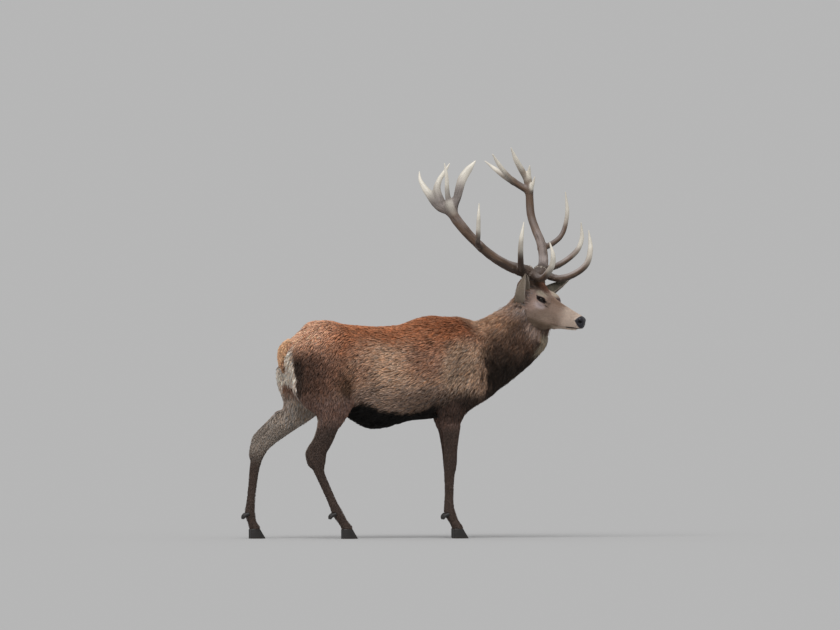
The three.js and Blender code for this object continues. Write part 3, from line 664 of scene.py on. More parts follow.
def cell_corners(grid):
    """A grid's values at each of the eight corners of its cells."""
    n = np.array(grid.shape) - 1
    return [grid[i : n[0] + i, j : n[1] + j, k : n[2] + k] for i, j, k in CORNERS]


def sampled(field, axes):
    """The field's value at every place of a grid. It is worked out only near the surface: a coarse grid
    is tried first, and the rest keeps the coarse value, whose sign is all that matters there."""
    coarse_axes = [a[::COARSE] for a in axes]
    coarse_points = np.stack(np.meshgrid(*coarse_axes, indexing="ij"), -1)
    coarse = field(coarse_points.reshape(-1, 3)).reshape(coarse_points.shape[:3])
    steps = [np.diff(a) for a in coarse_axes]
    across = np.sqrt(sum(s**2 for s in np.meshgrid(*steps, indexing="ij")))
    corners = cell_corners(coarse)
    near = np.min(np.abs(corners), axis=0) < across
    near |= np.ptp(np.sign(corners), axis=0) > 0
    full = coarse[:-1, :-1, :-1]
    wanted = near
    for axis in range(3):
        full = np.repeat(full, COARSE, axis)
        wanted = np.repeat(wanted, COARSE, axis)
    full = np.pad(full, ((0, 1),) * 3, mode="edge")
    wanted = np.pad(wanted, ((0, 1),) * 3)
    for axis in range(3):
        wanted |= np.roll(wanted, 1, axis)
    i, j, k = np.nonzero(wanted)
    points = np.stack([axes[0][i], axes[1][j], axes[2][k]], 1)
    batches = np.array_split(points, len(points) // BATCH + 1)
    full[i, j, k] = np.concatenate([field(batch) for batch in batches])
    return full


def net(value, axes):
    """A closed net of quads where the value is zero: a vertex in each cell that the surface crosses, at
    the mean of the crossings of its edges, and a quad round each grid edge that it crosses."""
    inside = value < 0
    n = np.array(value.shape) - 1
    count = np.sum(cell_corners(inside), axis=0, dtype=np.int8)
    mixed = (count > 0) & (count < 8)
    number = np.full(mixed.shape, -1, np.int64)
    cells = np.argwhere(mixed)
    number[mixed] = np.arange(len(cells))
    total = np.zeros((len(cells), 3))
    crossings = np.zeros(len(cells))
    for start in CORNERS:
        for axis in range(3):
            if start[axis]:
                continue
            end = start.copy()
            end[axis] = 1
            a, b = (cells + start).T, (cells + end).T
            va, vb = value[tuple(a)], value[tuple(b)]
            crossed = (va < 0) != (vb < 0)
            t = np.where(crossed, va / np.where(crossed, va - vb, 1), 0)
            place = np.stack([axes[k][a[k]] for k in range(3)], 1)
            place[:, axis] += t * (axes[axis][b[axis]] - axes[axis][a[axis]])
            total += place * crossed[:, None]
            crossings += crossed
    quads = []
    for axis in range(3):
        u, v = (axis + 1) % 3, (axis + 2) % 3
        first = inside.take(range(0, n[axis]), axis)
        second = inside.take(range(1, n[axis] + 1), axis)
        edge = np.argwhere(first != second)
        edge = edge[(edge[:, u] > 0) & (edge[:, v] > 0) & (edge[:, u] < n[u]) & (edge[:, v] < n[v])]
        around = []
        for du, dv in ((-1, -1), (0, -1), (0, 0), (-1, 0)):
            cell = edge.copy()
            cell[:, u] += du
            cell[:, v] += dv
            around.append(number[tuple(cell.T)])
        quad = np.stack(around, 1)
        outward = inside[tuple(edge.T)]
        quads.append(np.where(outward[:, None], quad, quad[:, ::-1]))
    return total / crossings[:, None], np.concatenate(quads)


def settled(field, points, rounds=3, most=3.0):
    """Points moved along the field's slope until they lie on its surface."""
    for _ in range(rounds):
        value = field(points)
        steep = slope(field, points, value)
        size = np.maximum(np.sum(steep**2, axis=1), 0.04)
        move = np.clip(value / np.sqrt(size), -most, most) / np.sqrt(size)
        points = points - np.clip(move, -most, most)[:, None] * steep
    return points


def vertex_normals(points, quads):
    """Each vertex's outward way: the sum of its quads' area vectors."""
    a, b, c, d = (points[quads[:, k]] for k in range(4))
    area = np.cross(c - a, d - b)
    out = np.zeros_like(points)
    for k in range(4):
        for axis in range(3):
            out[:, axis] += np.bincount(quads[:, k], area[:, axis], len(points))
    return unit(out)


def halves(quads):
    """Each quad's two triangles, one after the other."""
    return quads[:, [0, 1, 2, 0, 2, 3]].reshape(-1, 3)


# ---------------- skin

# The grid is fine round the head and antlers' roots, and coarser over the rest of the body.
BODY_STEP, HEAD_STEP = 11.5, 3.6
AXES = [
    spaced([(-1000, BODY_STEP), (535, HEAD_STEP), (905, 0)]),
    spaced([(-415, HEAD_STEP), (-20, BODY_STEP), (250, 0)]),
    spaced([(12, BODY_STEP), (1150, HEAD_STEP), (1495, 0)]),
]
skin_points, skin_quads = net(sampled(flesh, AXES), AXES)
skin_points = settled(flesh, skin_points)
skin_normals = vertex_normals(skin_points, skin_quads)


def nearest_part(points):
    """The number, in PART_NAMES, of the part that each point lies nearest."""
    values = part_values(points, 1.0)
    return np.argmin([values[name] for name in PART_NAMES], axis=0)


skin_part = nearest_part(skin_points)

# ---------------- markings

HEX = {
    "back": "#8f5e42",
    "withers": "#7d4e35",
    "croup": "#c99e84",
    "flank": "#a0846f",
    "brown": "#7a5644",
    "low_flank": "#7e6b5f",
    "shoulder": "#85705f",
    "haunch": "#5c4337",
    "haunch_dark": "#3c2b23",
    "hollow": "#342416",
    # belly: partly dark hair, partly painted shade under the body
    "belly": "#0e0c0a",
    "rump": "#c9bbae",
    "rump_low": "#7d6e66",
    "rump_edge": "#2a201a",
    "tail": "#bd9676",
    "mane": "#594539",
    "mane_dark": "#211a15",
    "nape": "#a5836a",
    "withers_shadow": "#4a362c",
    "neck_grey": "#94837a",
    "beard_edge": "#887e6e",
    # elbow: painted shade under the chest and round the elbows
    "elbow": "#261c17",
    "leg": "#463a34",
    "thigh": "#644e45",
    "leg_inner": "#82786f",
    "face": "#8a776b",
    "face_back": "#ad998f",
    "bridge": "#7f6a5c",
    "muzzle": "#a99a8e",
    "forehead": "#33271d",
    "brow_tuft": "#593d2f",
    "pale_lit_brow": "#a2988a",
    "socket": "#31242a",
    "under_eye": "#c0b3b1",
    "cheek_hair_and_shade": "#7f6f63",
    "jaw_underside_shade": "#655647",
    "nose": "#1c1b21",
    "nostril": "#050405",
    "lid": "#231b1b",
    "chin": "#b8a99b",
    "ear": "#82776b",
    "ear_dusk": "#4a473d",
    "ear_hollow_shade": "#4a3d35",
    "ear_rim": "#2a211c",
    "ear_hair": "#a1978c",
}
SHADE_GAIN = 1.85  # a coat looks this much darker than its hairs are, because they shade each other
BRIGHTEST = 0.9  # no channel of a hair's own colour goes over this


def hair_ink(code):
    """A hair's own linear colour, from how its coat looks."""
    colour = linear(code) * SHADE_GAIN
    return colour * min(1.0, BRIGHTEST / colour.max())


INK = {name: hair_ink(code) for name, code in HEX.items()}


def add_inks(codes):
    """Adds named colours of things other than hair, as they look."""
    INK.update({name: linear(code) for name, code in codes.items()})


def plain(name, points):
    """The same named colour at every point."""
    return np.repeat(INK[name][None], len(points), 0)


def spot(points, centre, reach, edge):
    """1 within an ellipsoid and 0 outside it, with a soft edge of that share of its size."""
    off = np.sqrt(np.sum(((points - centre) / reach) ** 2, axis=1))
    return ramp(1 + edge, 1 - edge, off)


def paint(colour, name, weight):
    """Lays a named colour over others."""
    w = np.clip(weight, 0, 1)[:, None]
    return colour * (1 - w) + INK[name] * w


def lay_spots(colour, points, rows):
    """Lays soft spots over others. A row is a colour's name, its weight, and the spot's middle, reach
    and edge."""
    for name, weight, centre, reach, edge in rows:
        colour = paint(colour, name, weight * spot(points, centre, reach, edge))
    return colour


def is_part(part, *starts):
    """1 where the part's name starts so."""
    numbers = [i for i, name in enumerate(PART_NAMES) if name.startswith(starts)]
    return np.isin(part, numbers).astype(float)


# The front edge of the trunk's colours: height, and the place along the body there.
MANE_EDGE = np.array([[850, 360], [1000, 335], [1100, 375], [1150, 350], [1220, 310]])
FLANK_SPOTS = [
    ("brown", 0.75, [40, 190, 1010], [130, 90, 130], 0.6),
    ("haunch", 0.45, [-510, 190, 850], [80, 120, 110], 0.8),
]
BACK_SPOTS = [
    ("withers", 0.85, [240, 60, 1205], [170, 200, 95], 0.5),
    # Painted shade where the neck rises from the withers.
    ("withers_shadow", 0.75, [325, 60, 1225], [70, 200, 80], 0.6),
    ("croup", 0.9, [-640, 70, 1150], [160, 170, 115], 0.6),
    ("shoulder", 0.85, [215, 170, 960], [100, 120, 140], 0.4),
    ("haunch", 0.9, [-615, 170, 890], [120, 150, 170], 0.5),
    ("haunch_dark", 0.7, [-640, 180, 915], [70, 110, 105], 0.6),
    ("haunch_dark", 0.7, [-705, 165, 985], [40, 80, 75], 0.7),
    # Painted shade in the hollow of the flank in front of the thigh.
    ("hollow", 0.85, [-430, 190, 820], [50, 120, 130], 0.95),
]
MANE_SPOTS = [
    ("mane_dark", 0.6, [486, 140, 1022], [45, 130, 75], 0.8),
    ("mane_dark", 0.5, [355, 165, 1025], [30, 120, 42], 0.8),
]
# Spots of the head are measured on the face.
CHEEK_SPOTS = [
    # Darker brown hair with painted shade under the cheekbones.
    ("cheek_hair_and_shade", 0.8, [178, 60, -188], [62, 60, 32], 0.6),
    ("cheek_hair_and_shade", 0.6, [235, 45, -160], [60, 40, 22], 0.6),
]
BROW_SPOTS = [
    # Painted shadow under the antlers' burrs, over the top of the head.
    ("forehead", 1.0, [55, 0, -34], [72, 76, 44], 0.5),
    ("brow_tuft", 0.9, [112, 8, -42], [46, 34, 30], 0.5),
    # Painted shadow under each burr.
    ("forehead", 0.8, [80, 22, -16], [24, 32, 15], 0.6),
    ("socket", 0.3, [170, 50, -82], [24, 18, 11], 0.6),
]
# Painted shade over the left eye, whose lid lies in shadow: its dark patch is larger and darker.
LEFT_SOCKET_SHADE = [("socket", 0.7, [184, 46, -85], [28, 24, 14], 0.6)]
EYE_SPOTS = [
    ("under_eye", 0.95, [143, 70, -133], [32, 34, 18], 0.5),
    # Pale hair over each eye, with painted light on the top of the brow ridge.
    ("pale_lit_brow", 0.9, [124, 68, -70], [32, 24, 13], 0.5),
    ("pale_lit_brow", 0.7, [150, 46, -68], [24, 20, 12], 0.6),
]


def mane_share(p):
    """0 on the trunk and 1 on the mane, rising over 150 mm round a ragged edge at the shoulder."""
    wander = 90 * (lattice(p, 100, 6) - 0.5) + 90 * (lattice(p * [1, 1, 0.35], 18, 8) - 0.5)
    edge = np.interp(p[:, 2], *MANE_EDGE.T)
    return ramp(-75, 75, p[:, 0] + wander - edge)


def body_markings(p, normal):
    """Trunk, neck, rump and tail: orange-brown back, tan flank and shoulder, dark brown thigh, dark
    mane, cream rump edged with black, and a black belly that is partly dark hair and partly painted
    shade under the body; painted shade also darkens the chest round the elbows, the hollow in
    front of the thigh and the top of the withers where the neck rises from them."""
    x, z = p[:, 0], p[:, 2]
    side_p = mirrored(p)
    wander = 60 * (lattice(p, 140, 3) - 0.5) + 34 * (lattice(p, 45, 4) - 0.5)
    fine = lattice(p * [1, 1, 0.6], 15, 12) - 0.5
    specks = lattice(p * [1, 1, 0.7], 8, 13) - 0.5
    colour = plain("flank", p)
    colour = paint(colour, "brown", 0.85 * ramp(-230, -430, x + 1.6 * wander))
    colour = lay_spots(colour, side_p, FLANK_SPOTS)
    colour = paint(colour, "low_flank", 0.85 * ramp(905, 800, z + wander))
    # Painted shade low on the chest behind the elbows.
    colour = paint(colour, "elbow", 0.5 * spot(side_p, [90, 190, 765], [170, 110, 62], 0.8))
    colour = paint(colour, "back", ramp(1010, 1170, z + 1.2 * wander + 60 * fine))
    colour = lay_spots(colour, side_p, BACK_SPOTS)
    mane = mane_share(p)
    colour = paint(colour, "mane", mane)
    nape = ramp(0.1, 0.8, normal[:, 2] - 0.3 * normal[:, 0] + 0.004 * wander) * ramp(1400, 1340, z)
    colour = paint(colour, "nape", 0.8 * mane * nape)
    grey = spot(p, [578, -115, 1285], [84, 160, 52], 0.6)
    colour = paint(colour, "neck_grey", 0.85 * mane * grey * (1 - 0.4 * nape))
    low = ramp(70, -60, z - 1045 - 0.17 * (x - 354) + 0.9 * wander)
    colour = paint(colour, "mane_dark", 0.95 * ramp(0.35, 0.9, mane) * low)
    colour = lay_spots(colour, side_p, MANE_SPOTS)
    colour = paint(colour, "neck_grey", 0.6 * spot(p, [655, -130, 1185], [62, 120, 42], 0.7))
    edge = ramp(0.84, 0.96, normal @ unit(np.array([0.8, -0.55, -0.2])))
    colour = paint(colour, "beard_edge", 0.75 * mane * edge * ramp(1050, 1090, z) * ramp(1180, 1140, z))
    # The belly is painted black: partly its dark hair, partly painted shade under the body.
    sag = 30 * ((x + 110) / 160) ** 2
    black = ramp(728, 694, z + 0.3 * wander - np.minimum(sag, 45)) * ramp(-500, -450, x) * ramp(330, 230, x)
    colour = paint(colour, "belly", black)
    # Painted shade under the chest round the elbows, where the fore legs meet the body.
    colour = paint(colour, "elbow", 0.95 * spot(side_p, [265, 150, 740], [160, 180, 95], 0.5))
    back_facing = -normal[:, 0] + 0.0025 * wander
    behind = ramp(-610, -670, x - 0.12 * (z - 1000)) * ramp(1110, 1060, z)
    border = ramp(0.3, 0.6, back_facing) * ramp(-560, -640, x) * ramp(1045, 985, z) * ramp(740, 800, z)
    border = border * ramp(80, 130, side_p[:, 1])
    colour = paint(colour, "rump_edge", 0.9 * border)
    pale = ramp(0.76, 0.88, back_facing) * behind
    colour = paint(colour, "rump", pale)
    colour = paint(colour, "rump_low", 0.8 * pale * ramp(890, 800, z + 0.5 * wander))
    nicks = ramp(0.80, 0.9, lattice(side_p * [1, 1, 0.8], 17, 9))
    nicks = nicks * ramp(800, 850, z) * (1 - mane) * ramp(-520, -440, x)
    colour = paint(colour, "mane_dark", 0.6 * nicks * ramp(1180, 1120, z))
    return colour * (1 + (0.4 * fine + 0.45 * specks) * (1 + 0.6 * mane))[:, None]


def leg_markings(p, normal, part):
    """Dark legs; the hind legs are grey on the inside, with a paler line down the back of the thigh,
    which is cream on the right one."""
    z = p[:, 2]
    hind = is_part(part, "leg_hind")
    wander = lattice(p, 60, 14) - 0.5
    inward = -np.sign(p[:, 1]) * normal[:, 1] + 0.3 * wander
    colour = plain("leg", p)
    colour = paint(colour, "thigh", ramp(560, 740, z + 80 * wander))
    # Painted shade at the top of each fore leg, under the chest.
    colour = paint(colour, "elbow", 0.8 * (1 - hind) * ramp(620, 700, z))
    inside = ramp(0.1, 0.6, inward - 0.5 * normal[:, 0])
    colour = paint(colour, "leg_inner", 0.9 * inside * ramp(380, 520, z + 60 * wander) * hind)
    colour = paint(colour, "thigh", 0.5 * ramp(0.2, 0.6, inward) * ramp(330, 470, z) * (1 - hind))
    behind = hind * ramp(0.5, 0.8, -normal[:, 0]) * ramp(660, 740, z)
    colour = paint(colour, "rump_low", 0.5 * behind)
    return paint(colour, "rump", 0.8 * behind * ramp(0.85, 0.95, -normal[:, 0]) * ramp(40, -40, p[:, 1]))


def head_markings(p, normal):
    """Grey-brown face: painted shadow under the antlers, a rusty tuft on the brow, a tan bridge, pale
    muzzle and chin, pale rings round the eyes with painted light on the brows above them, painted
    shade under the cheekbones and jaw over darker cheek hair, and dark hair in front of the eyes,
    with painted shade making the left one darkest."""
    face = to_face(p)
    side_face = mirrored(face)
    along, up = face[:, 0], face[:, 2]
    wander = lattice(p, 22, 7) - 0.5
    colour = plain("face", p)
    colour = paint(colour, "face_back", 0.9 * ramp(190, 90, along + 20 * wander) * ramp(-205, -170, up))
    colour = paint(colour, "bridge", ramp(0.45, 0.8, normal @ face_up) * ramp(150, 200, along))
    colour = lay_spots(colour, side_face, CHEEK_SPOTS)
    # Painted shade under the jaw: the lowest part of the face is darker.
    colour = paint(colour, "jaw_underside_shade", 0.8 * ramp(-205, -235, up - 0.12 * (along - 100) + 10 * wander))
    colour = paint(colour, "muzzle", 0.9 * ramp(245, 315, along + 25 * wander + 0.2 * (up + 150)))
    colour = lay_spots(colour, side_face, BROW_SPOTS)
    # Painted shade round the left eye.
    colour = lay_spots(colour, face, LEFT_SOCKET_SHADE)
    colour = lay_spots(colour, side_face, EYE_SPOTS)
    colour = paint(colour, "chin", ramp(4, -6, off_lips(face)) * ramp(225, 290, along))
    return colour, face, side_face


def bare_places(face):
    """1 on skin with no hair: the lids with their tear pits, the line of the mouth, the pad of the nose
    and the nostrils."""
    lids, pits = np.zeros((2, len(face)))
    for side in (-1, 1):
        far, gaze, across, upright = on_eye(face, side)
        reach = 1.15 + 0.12 * ramp(0, 20, across) + 0.12 * ramp(0, -20, across)
        lid = ramp(0.12, -0.06, almond(across, upright) - reach) * (gaze > 0) * (far < 36)
        tear = ramp(0.35, 0.7, groove(face, TEAR_SKIN, 5.5, side))
        lids = np.maximum(lids, np.maximum(lid, tear))
        pit = ramp(1.35, 0.95, np.linalg.norm(in_nostril(face, side), axis=1))
        slit = ramp(0.35, 0.7, groove(face, NOSTRIL_SLIT, 5.5, side))
        pits = np.maximum(pits, np.maximum(pit, slit))
    mouth = ramp(5.5, 3.5, np.abs(off_lips(face))) * ramp(312, 326, face[:, 0])
    # the pad reaches furthest back level with the nostrils
    height = face[:, 2] + 124
    edge = 364 + 0.35 * np.abs(height) + np.where(height < 0, 0.85 * np.abs(height), 0)
    pad = ramp(-4, 4, face[:, 0] - edge) * ramp(-158, -152, face[:, 2])
    return lids, mouth, pad, pits


def ear_markings(p, normal, part):
    """Grey-tan outside, with painted shade over the left ear; a hollow painted dark as its shade, fringed
    with pale hair, and a dark rim.
    """
    colour = plain("ear", p)
    # Painted shade over the left ear, under the antler.
    colour = paint(colour, "ear_dusk", 0.85 * is_part(part, "ear_left"))
    for name in EARS:
        root, axis, side, front = ear_frame(name)
        here = is_part(part, name)
        offset = p - root
        along = offset @ axis / EAR_LENGTH
        across = np.abs(offset @ side) / ear_width(along)
        # Painted shade in each ear's hollow, where the skin faces into it.
        inside = here * ramp(0.0, 0.4, normal @ front)
        colour = paint(colour, "ear_hollow_shade", inside)
        colour = paint(colour, "ear_hair", 0.8 * inside * ramp(0.45, 0.75, across) * ramp(0.0, 0.2, along))
        rim = here * ramp(0.9, 0.99, across) * ramp(0.3, 0.5, along)
        colour = paint(colour, "ear_rim", 0.6 * rim)
    return colour


def markings(p, part, normal):
    """The stag's colour at points on its skin, from where they lie and which way they face; how bare
    the skin is there, and how wet."""
    colour = body_markings(p, normal)
    tail = is_part(part, "tail")
    colour = paint(colour, "tail", tail)
    colour = paint(colour, "haunch", 0.6 * tail * ramp(1010, 960, p[:, 2]))
    legs = is_part(part, "leg") * ramp(840, 760, p[:, 2])
    colour += legs[:, None] * (leg_markings(p, normal, part) - colour)
    head_colour, face, side_face = head_markings(p, normal)
    head = is_part(part, "head")
    colour += (head * ramp(-10, 70, face[:, 0]))[:, None] * (head_colour - colour)
    # Painted shadow under each burr, round the pedicles.
    colour = paint(colour, "forehead", 0.9 * head * spot(side_face, [20, 56, -70], [34, 36, 24], 0.6))
    ear = is_part(part, "ear")
    colour += ear[:, None] * (ear_markings(p, normal, part) - colour)
    lids, mouth, pad, pits = bare_places(face)
    near = np.linalg.norm(face - FACE_MIDDLE, axis=1) < FACE_REACH
    # The lids are dark skin; the line of the mouth is partly dark lip skin, partly painted shade in the
    # cleft between the lips.
    colour = paint(colour, "lid", near * np.maximum(lids, mouth) * (1 - ear))
    colour = paint(colour, "nose", near * pad)
    # The nostril pits are painted near black, as the shade inside them.
    colour = paint(colour, "nostril", 0.9 * near * pits)
    bare = near * np.maximum(np.maximum(lids, mouth), np.maximum(pad, pits)) * (1 - ear)
    return colour, bare, near * pad * (1 - pits)


# ---------------- materials


def node(tree, kind, links=None, **settings):
    """Adds a node with its settings; links give a socket's input, a value or another node's socket."""
    made = tree.nodes.new(kind)
    for key, value in settings.items():
        setattr(made, key, value)
    for socket, value in (links or {}).items():
        if isinstance(value, bpy.types.NodeSocket):
            tree.links.new(value, made.inputs[socket])
        else:
            made.inputs[socket].default_value = value
    return made


def new_material(name):
    """An empty node material, and its tree."""
    material = bpy.data.materials.new(name)
    material.use_nodes = True
    material.node_tree.nodes.clear()
    return material, material.node_tree


def attribute(tree, name, socket="Fac"):
    """One of a piece's own numbers, or with "Color" its own colour."""
    return node(tree, "ShaderNodeAttribute", attribute_name=name).outputs[socket]


def noise(tree, place, scale, detail, roughness=0.5):
    """Fractal noise from 0 to 1, with so many cells to a metre."""
    links = {"Vector": place, "Scale": scale, "Detail": detail, "Roughness": roughness}
    return node(tree, "ShaderNodeTexNoise", links).outputs["Fac"]


def between(tree, factor, low, high):
    """A number that goes from low to high as a factor goes from 0 to 1."""
    return node(tree, "ShaderNodeMapRange", {"Value": factor, "To Min": low, "To Max": high}).outputs[0]


def toned_marking(tree, factor, low, high):
    """The piece's marking, multiplied by low to high as a factor goes from 0.3 to 0.7."""
    links = {"Value": factor, "From Min": 0.3, "From Max": 0.7, "To Min": low, "To Max": high}
    shade = node(tree, "ShaderNodeMapRange", links)
    toned = node(tree, "ShaderNodeMix", {0: 1.0}, data_type="RGBA", blend_type="MULTIPLY")
    tree.links.new(attribute(tree, "marking", "Color"), toned.inputs["A"])
    tree.links.new(shade.outputs[0], toned.inputs["B"])
    return toned.outputs["Result"]


def bump(tree, height, strength, distance):
    """Relief from a height, so many metres deep."""
    links = {"Strength": strength, "Distance": distance, "Height": height}
    return node(tree, "ShaderNodeBump", links).outputs[0]


def finish_material(tree, kind, links):
    """Ends a material with a shader and its output."""
    shader = node(tree, kind, links)
    node(tree, "ShaderNodeOutputMaterial", {"Surface": shader.outputs[0]})


def hide_material():
    """Skin under short hair: matt, its colour broken by fine hair 2 mm across. Bare skin is pebbled,
    and the wet pad of the nose shines."""
    material, tree = new_material("short_haired_hide")
    place = node(tree, "ShaderNodeTexCoord").outputs["Object"]
    hair = noise(tree, place, 420.0, 3.0, 0.65)
    pebbles = node(tree, "ShaderNodeTexVoronoi", {"Vector": place, "Scale": 300.0}).outputs["Distance"]
    heights = {"Factor": attribute(tree, "bare"), 2: hair, 3: pebbles}
    height = node(tree, "ShaderNodeMix", heights, data_type="FLOAT").outputs[0]
    links = {
        "Base Color": toned_marking(tree, hair, 0.72, 1.18),
        "Roughness": between(tree, attribute(tree, "wet"), 0.88, 0.2),
        "IOR": 1.45,
        "Specular IOR Level": 0.4,
        "Normal": bump(tree, height, 0.55, 0.0015),
    }
    finish_material(tree, "ShaderNodeBsdfPrincipled", links)
    return material


def hair_material(name, roughness):
    """Guard hair: its colour comes tuft by tuft. Locks scatter most of the gloss of single hairs."""
    material, tree = new_material(name)
    marking = attribute(tree, "marking", "Color")
    links = {"Base Color": marking, "Roughness": roughness, "IOR": 1.55, "Specular IOR Level": 0.22}
    finish_material(tree, "ShaderNodeBsdfPrincipled", links)
    return material


HIDE = hide_material()
SHORT_HAIR = hair_material("short_guard_hair", 0.68)
LONG_HAIR = hair_material("long_mane_hair", 0.6)


def dress(piece, slot, *nodes):
    """Puts a piece on the stag's body in place of the nodes that it stands for; slot is not used."""
    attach(piece, "root")
    if nodes:
        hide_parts(*nodes)


skin_colour, skin_bare, skin_wet = markings(skin_points, skin_part, skin_normals)
# Under its hair the skin is painted darker than the hair's marking, as shade that the coat casts on it;
# less so on the head, whose coat is short.
skin_shade = 0.78 + 0.14 * is_part(skin_part, "head", "ear")
skin = mesh_piece("skin", HIDE, skin_points, skin_quads, colours=skin_colour * skin_shade[:, None])
set_number(skin, skin_bare, "bare")
set_number(skin, skin_wet, "wet")
FLESH_NODES = ["trunk", "neck", "head", "tail", "ear_right", "ear_left"]
FLESH_NODES += [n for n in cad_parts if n.startswith("leg_")]
dress(skin, "coat", *FLESH_NODES)

# Where on the right or left side, and the way the hair points there.
HAIR_WAYS = [
    [200, 0, 1250, -1, 0, -0.12],
    [-200, 0, 1190, -1, 0, -0.06],
    [-520, 0, 1170, -1, 0, -0.25],
    [-650, 90, 1060, -0.5, 0, -1],
    [-640, 100, 850, -0.15, 0, -1],
    [-540, 190, 960, -0.6, 0, -0.85],
    [-520, 160, 790, -0.25, 0, -1],
    [-350, 190, 850, -0.9, 0, -0.35],
    [-150, 210, 950, -1, 0, -0.35],
    [-150, 100, 720, -1, 0, -0.1],
    [50, 215, 950, -0.95, 0, -0.45],
    [100, 120, 700, -1, 0, -0.25],
    [260, 190, 1000, -0.65, 0, -0.8],
    [210, 170, 790, -0.3, 0, -1],
    [430, 60, 880, -0.25, 0, -1],
    [380, 0, 1210, -0.9, 0, -0.35],
    [500, 130, 1100, -0.5, 0, -0.9],
    [600, 60, 1030, -0.15, 0, -1],
    [600, 70, 1290, -0.65, 0, -0.8],
    [690, 130, 1180, -0.25, 0, -1],
]
WAY_REACH = 150.0


def laid(way, normals):
    """Directions pressed flat on the skin."""
    flat = way - np.sum(way * normals, axis=1, keepdims=True) * normals
    return unit(flat)


def lie_of_coat(p, part, normals):
    """Which way hair points: backwards and down on the body, from nose to brow on the face, towards
    the tip on an ear or the tail, and down the legs."""
    side_p = mirrored(p)
    way = np.zeros_like(p)
    for *place, ahead, left, up in HAIR_WAYS:
        weight = np.exp(-np.sum(((side_p - place) / WAY_REACH) ** 2, axis=1)) + 1e-5
        way += weight[:, None] * [ahead, left, up]
    way = unit(way)
    legs = is_part(part, "leg") * ramp(860, 760, p[:, 2])
    way += legs[:, None] * (np.array([-0.1, 0, -1.0]) - way)
    face = to_face(p)
    aside = 0.35 * np.sign(face[:, 1]) * ramp(5, 40, np.abs(face[:, 1]))
    spread = np.stack([-np.ones(len(p)), aside, -0.45 * ramp(-110, -190, face[:, 2])], 1)
    head = is_part(part, "head") * ramp(-40, 60, face[:, 0])
    way += head[:, None] * (unit(spread) @ FACE - way)
    way += is_part(part, "tail")[:, None] * (np.array([-0.15, 0, -1.0]) - way)
    for name in EARS:
        way += is_part(part, name)[:, None] * (ear_frame(name)[1] - way)
    return laid(way, normals)


EAR_HOLLOW = 15  # an ear is curled round a line so far in front of its axis


def unwrapped(points, part):
    """Each point's place on the skin unrolled, part by part: the turn round the part's own line and the
    way along it, both from 0 to 1."""
    out = np.zeros((len(points), 2))
    for number, name in enumerate(PART_NAMES):
        here = part == number
        if not here.any():
            continue
        p = points[here]
        if name in EARS:
            root, axis, side, front = ear_frame(name)
            offset = p - root
            turn, along = np.arctan2(offset @ front - EAR_HOLLOW, offset @ side), offset @ axis
            length = EAR_LENGTH
        else:
            nearest = np.full(len(p), np.inf)
            turn, along, length = np.zeros(len(p)), np.zeros(len(p)), 0.0
            for start, axis, side, rise, run, _, _ in PARTS[name][0]["links"]:
                offset = p - start
                t = np.clip(offset @ axis, 0, run)
                off = np.linalg.norm(offset - t[:, None] * axis, axis=1)
                better = off < nearest
                turn = np.where(better, np.arctan2(offset @ side, offset @ rise), turn)
                along = np.where(better, length + t, along)
                nearest = np.minimum(nearest, off)
                length += run
        out[here] = np.stack([turn / (2 * np.pi) + 0.5, np.clip(along / length, 0, 1)], 1)
    return out


# ---------------- tufts

PATCH = 0.003  # side of a tuft's patch on the OFBake map
SECTION = np.array([[-0.5, 0.0], [0.5, 0.0], [0.0, 0.42]])  # a tuft's three edges: across, and up
SUNK = 1.5  # how deep a tuft's root lies in the skin


def roots_on_skin(density, count):
    """Places spread over the skin in proportion to each vertex's density: even steps along the summed
    area of the net's triangles, each moved a little, and a random place in the triangle."""
    tris = halves(skin_quads)
    a, b, c = (skin_points[tris[:, k]] for k in range(3))
    area = np.linalg.norm(np.cross(b - a, c - a), axis=1) * density[tris].mean(1)
    total = np.cumsum(area)
    picks = (np.arange(count) + rng.random(count)) / count * total[-1]
    chosen = np.minimum(np.searchsorted(total, picks), len(tris) - 1)
    u, v = rng.random((2, count))
    over = u + v > 1
    u, v = np.where(over, 1 - u, u), np.where(over, 1 - v, v)
    share = np.stack([1 - u - v, u, v], 1)[:, :, None]
    corners = tris[chosen]
    points = np.sum(skin_points[corners] * share, axis=1)
    normals = unit(np.sum(skin_normals[corners] * share, axis=1))
    return points, normals, skin_part[corners[:, 0]]


def pressed(tips, inset):
    """How each tip must move to end inside the coat's outline by the inset, but not in the skin."""
    value = flesh(tips, 0.0)
    away = unit(slope(lambda q: flesh(q, 0.0), tips, value))
    excess = np.clip(value + inset, 0, 60)
    buried = np.clip(1.0 - flesh(tips - excess[:, None] * away, 1.0, False), 0, 10)
    return (buried - excess)[:, None] * away


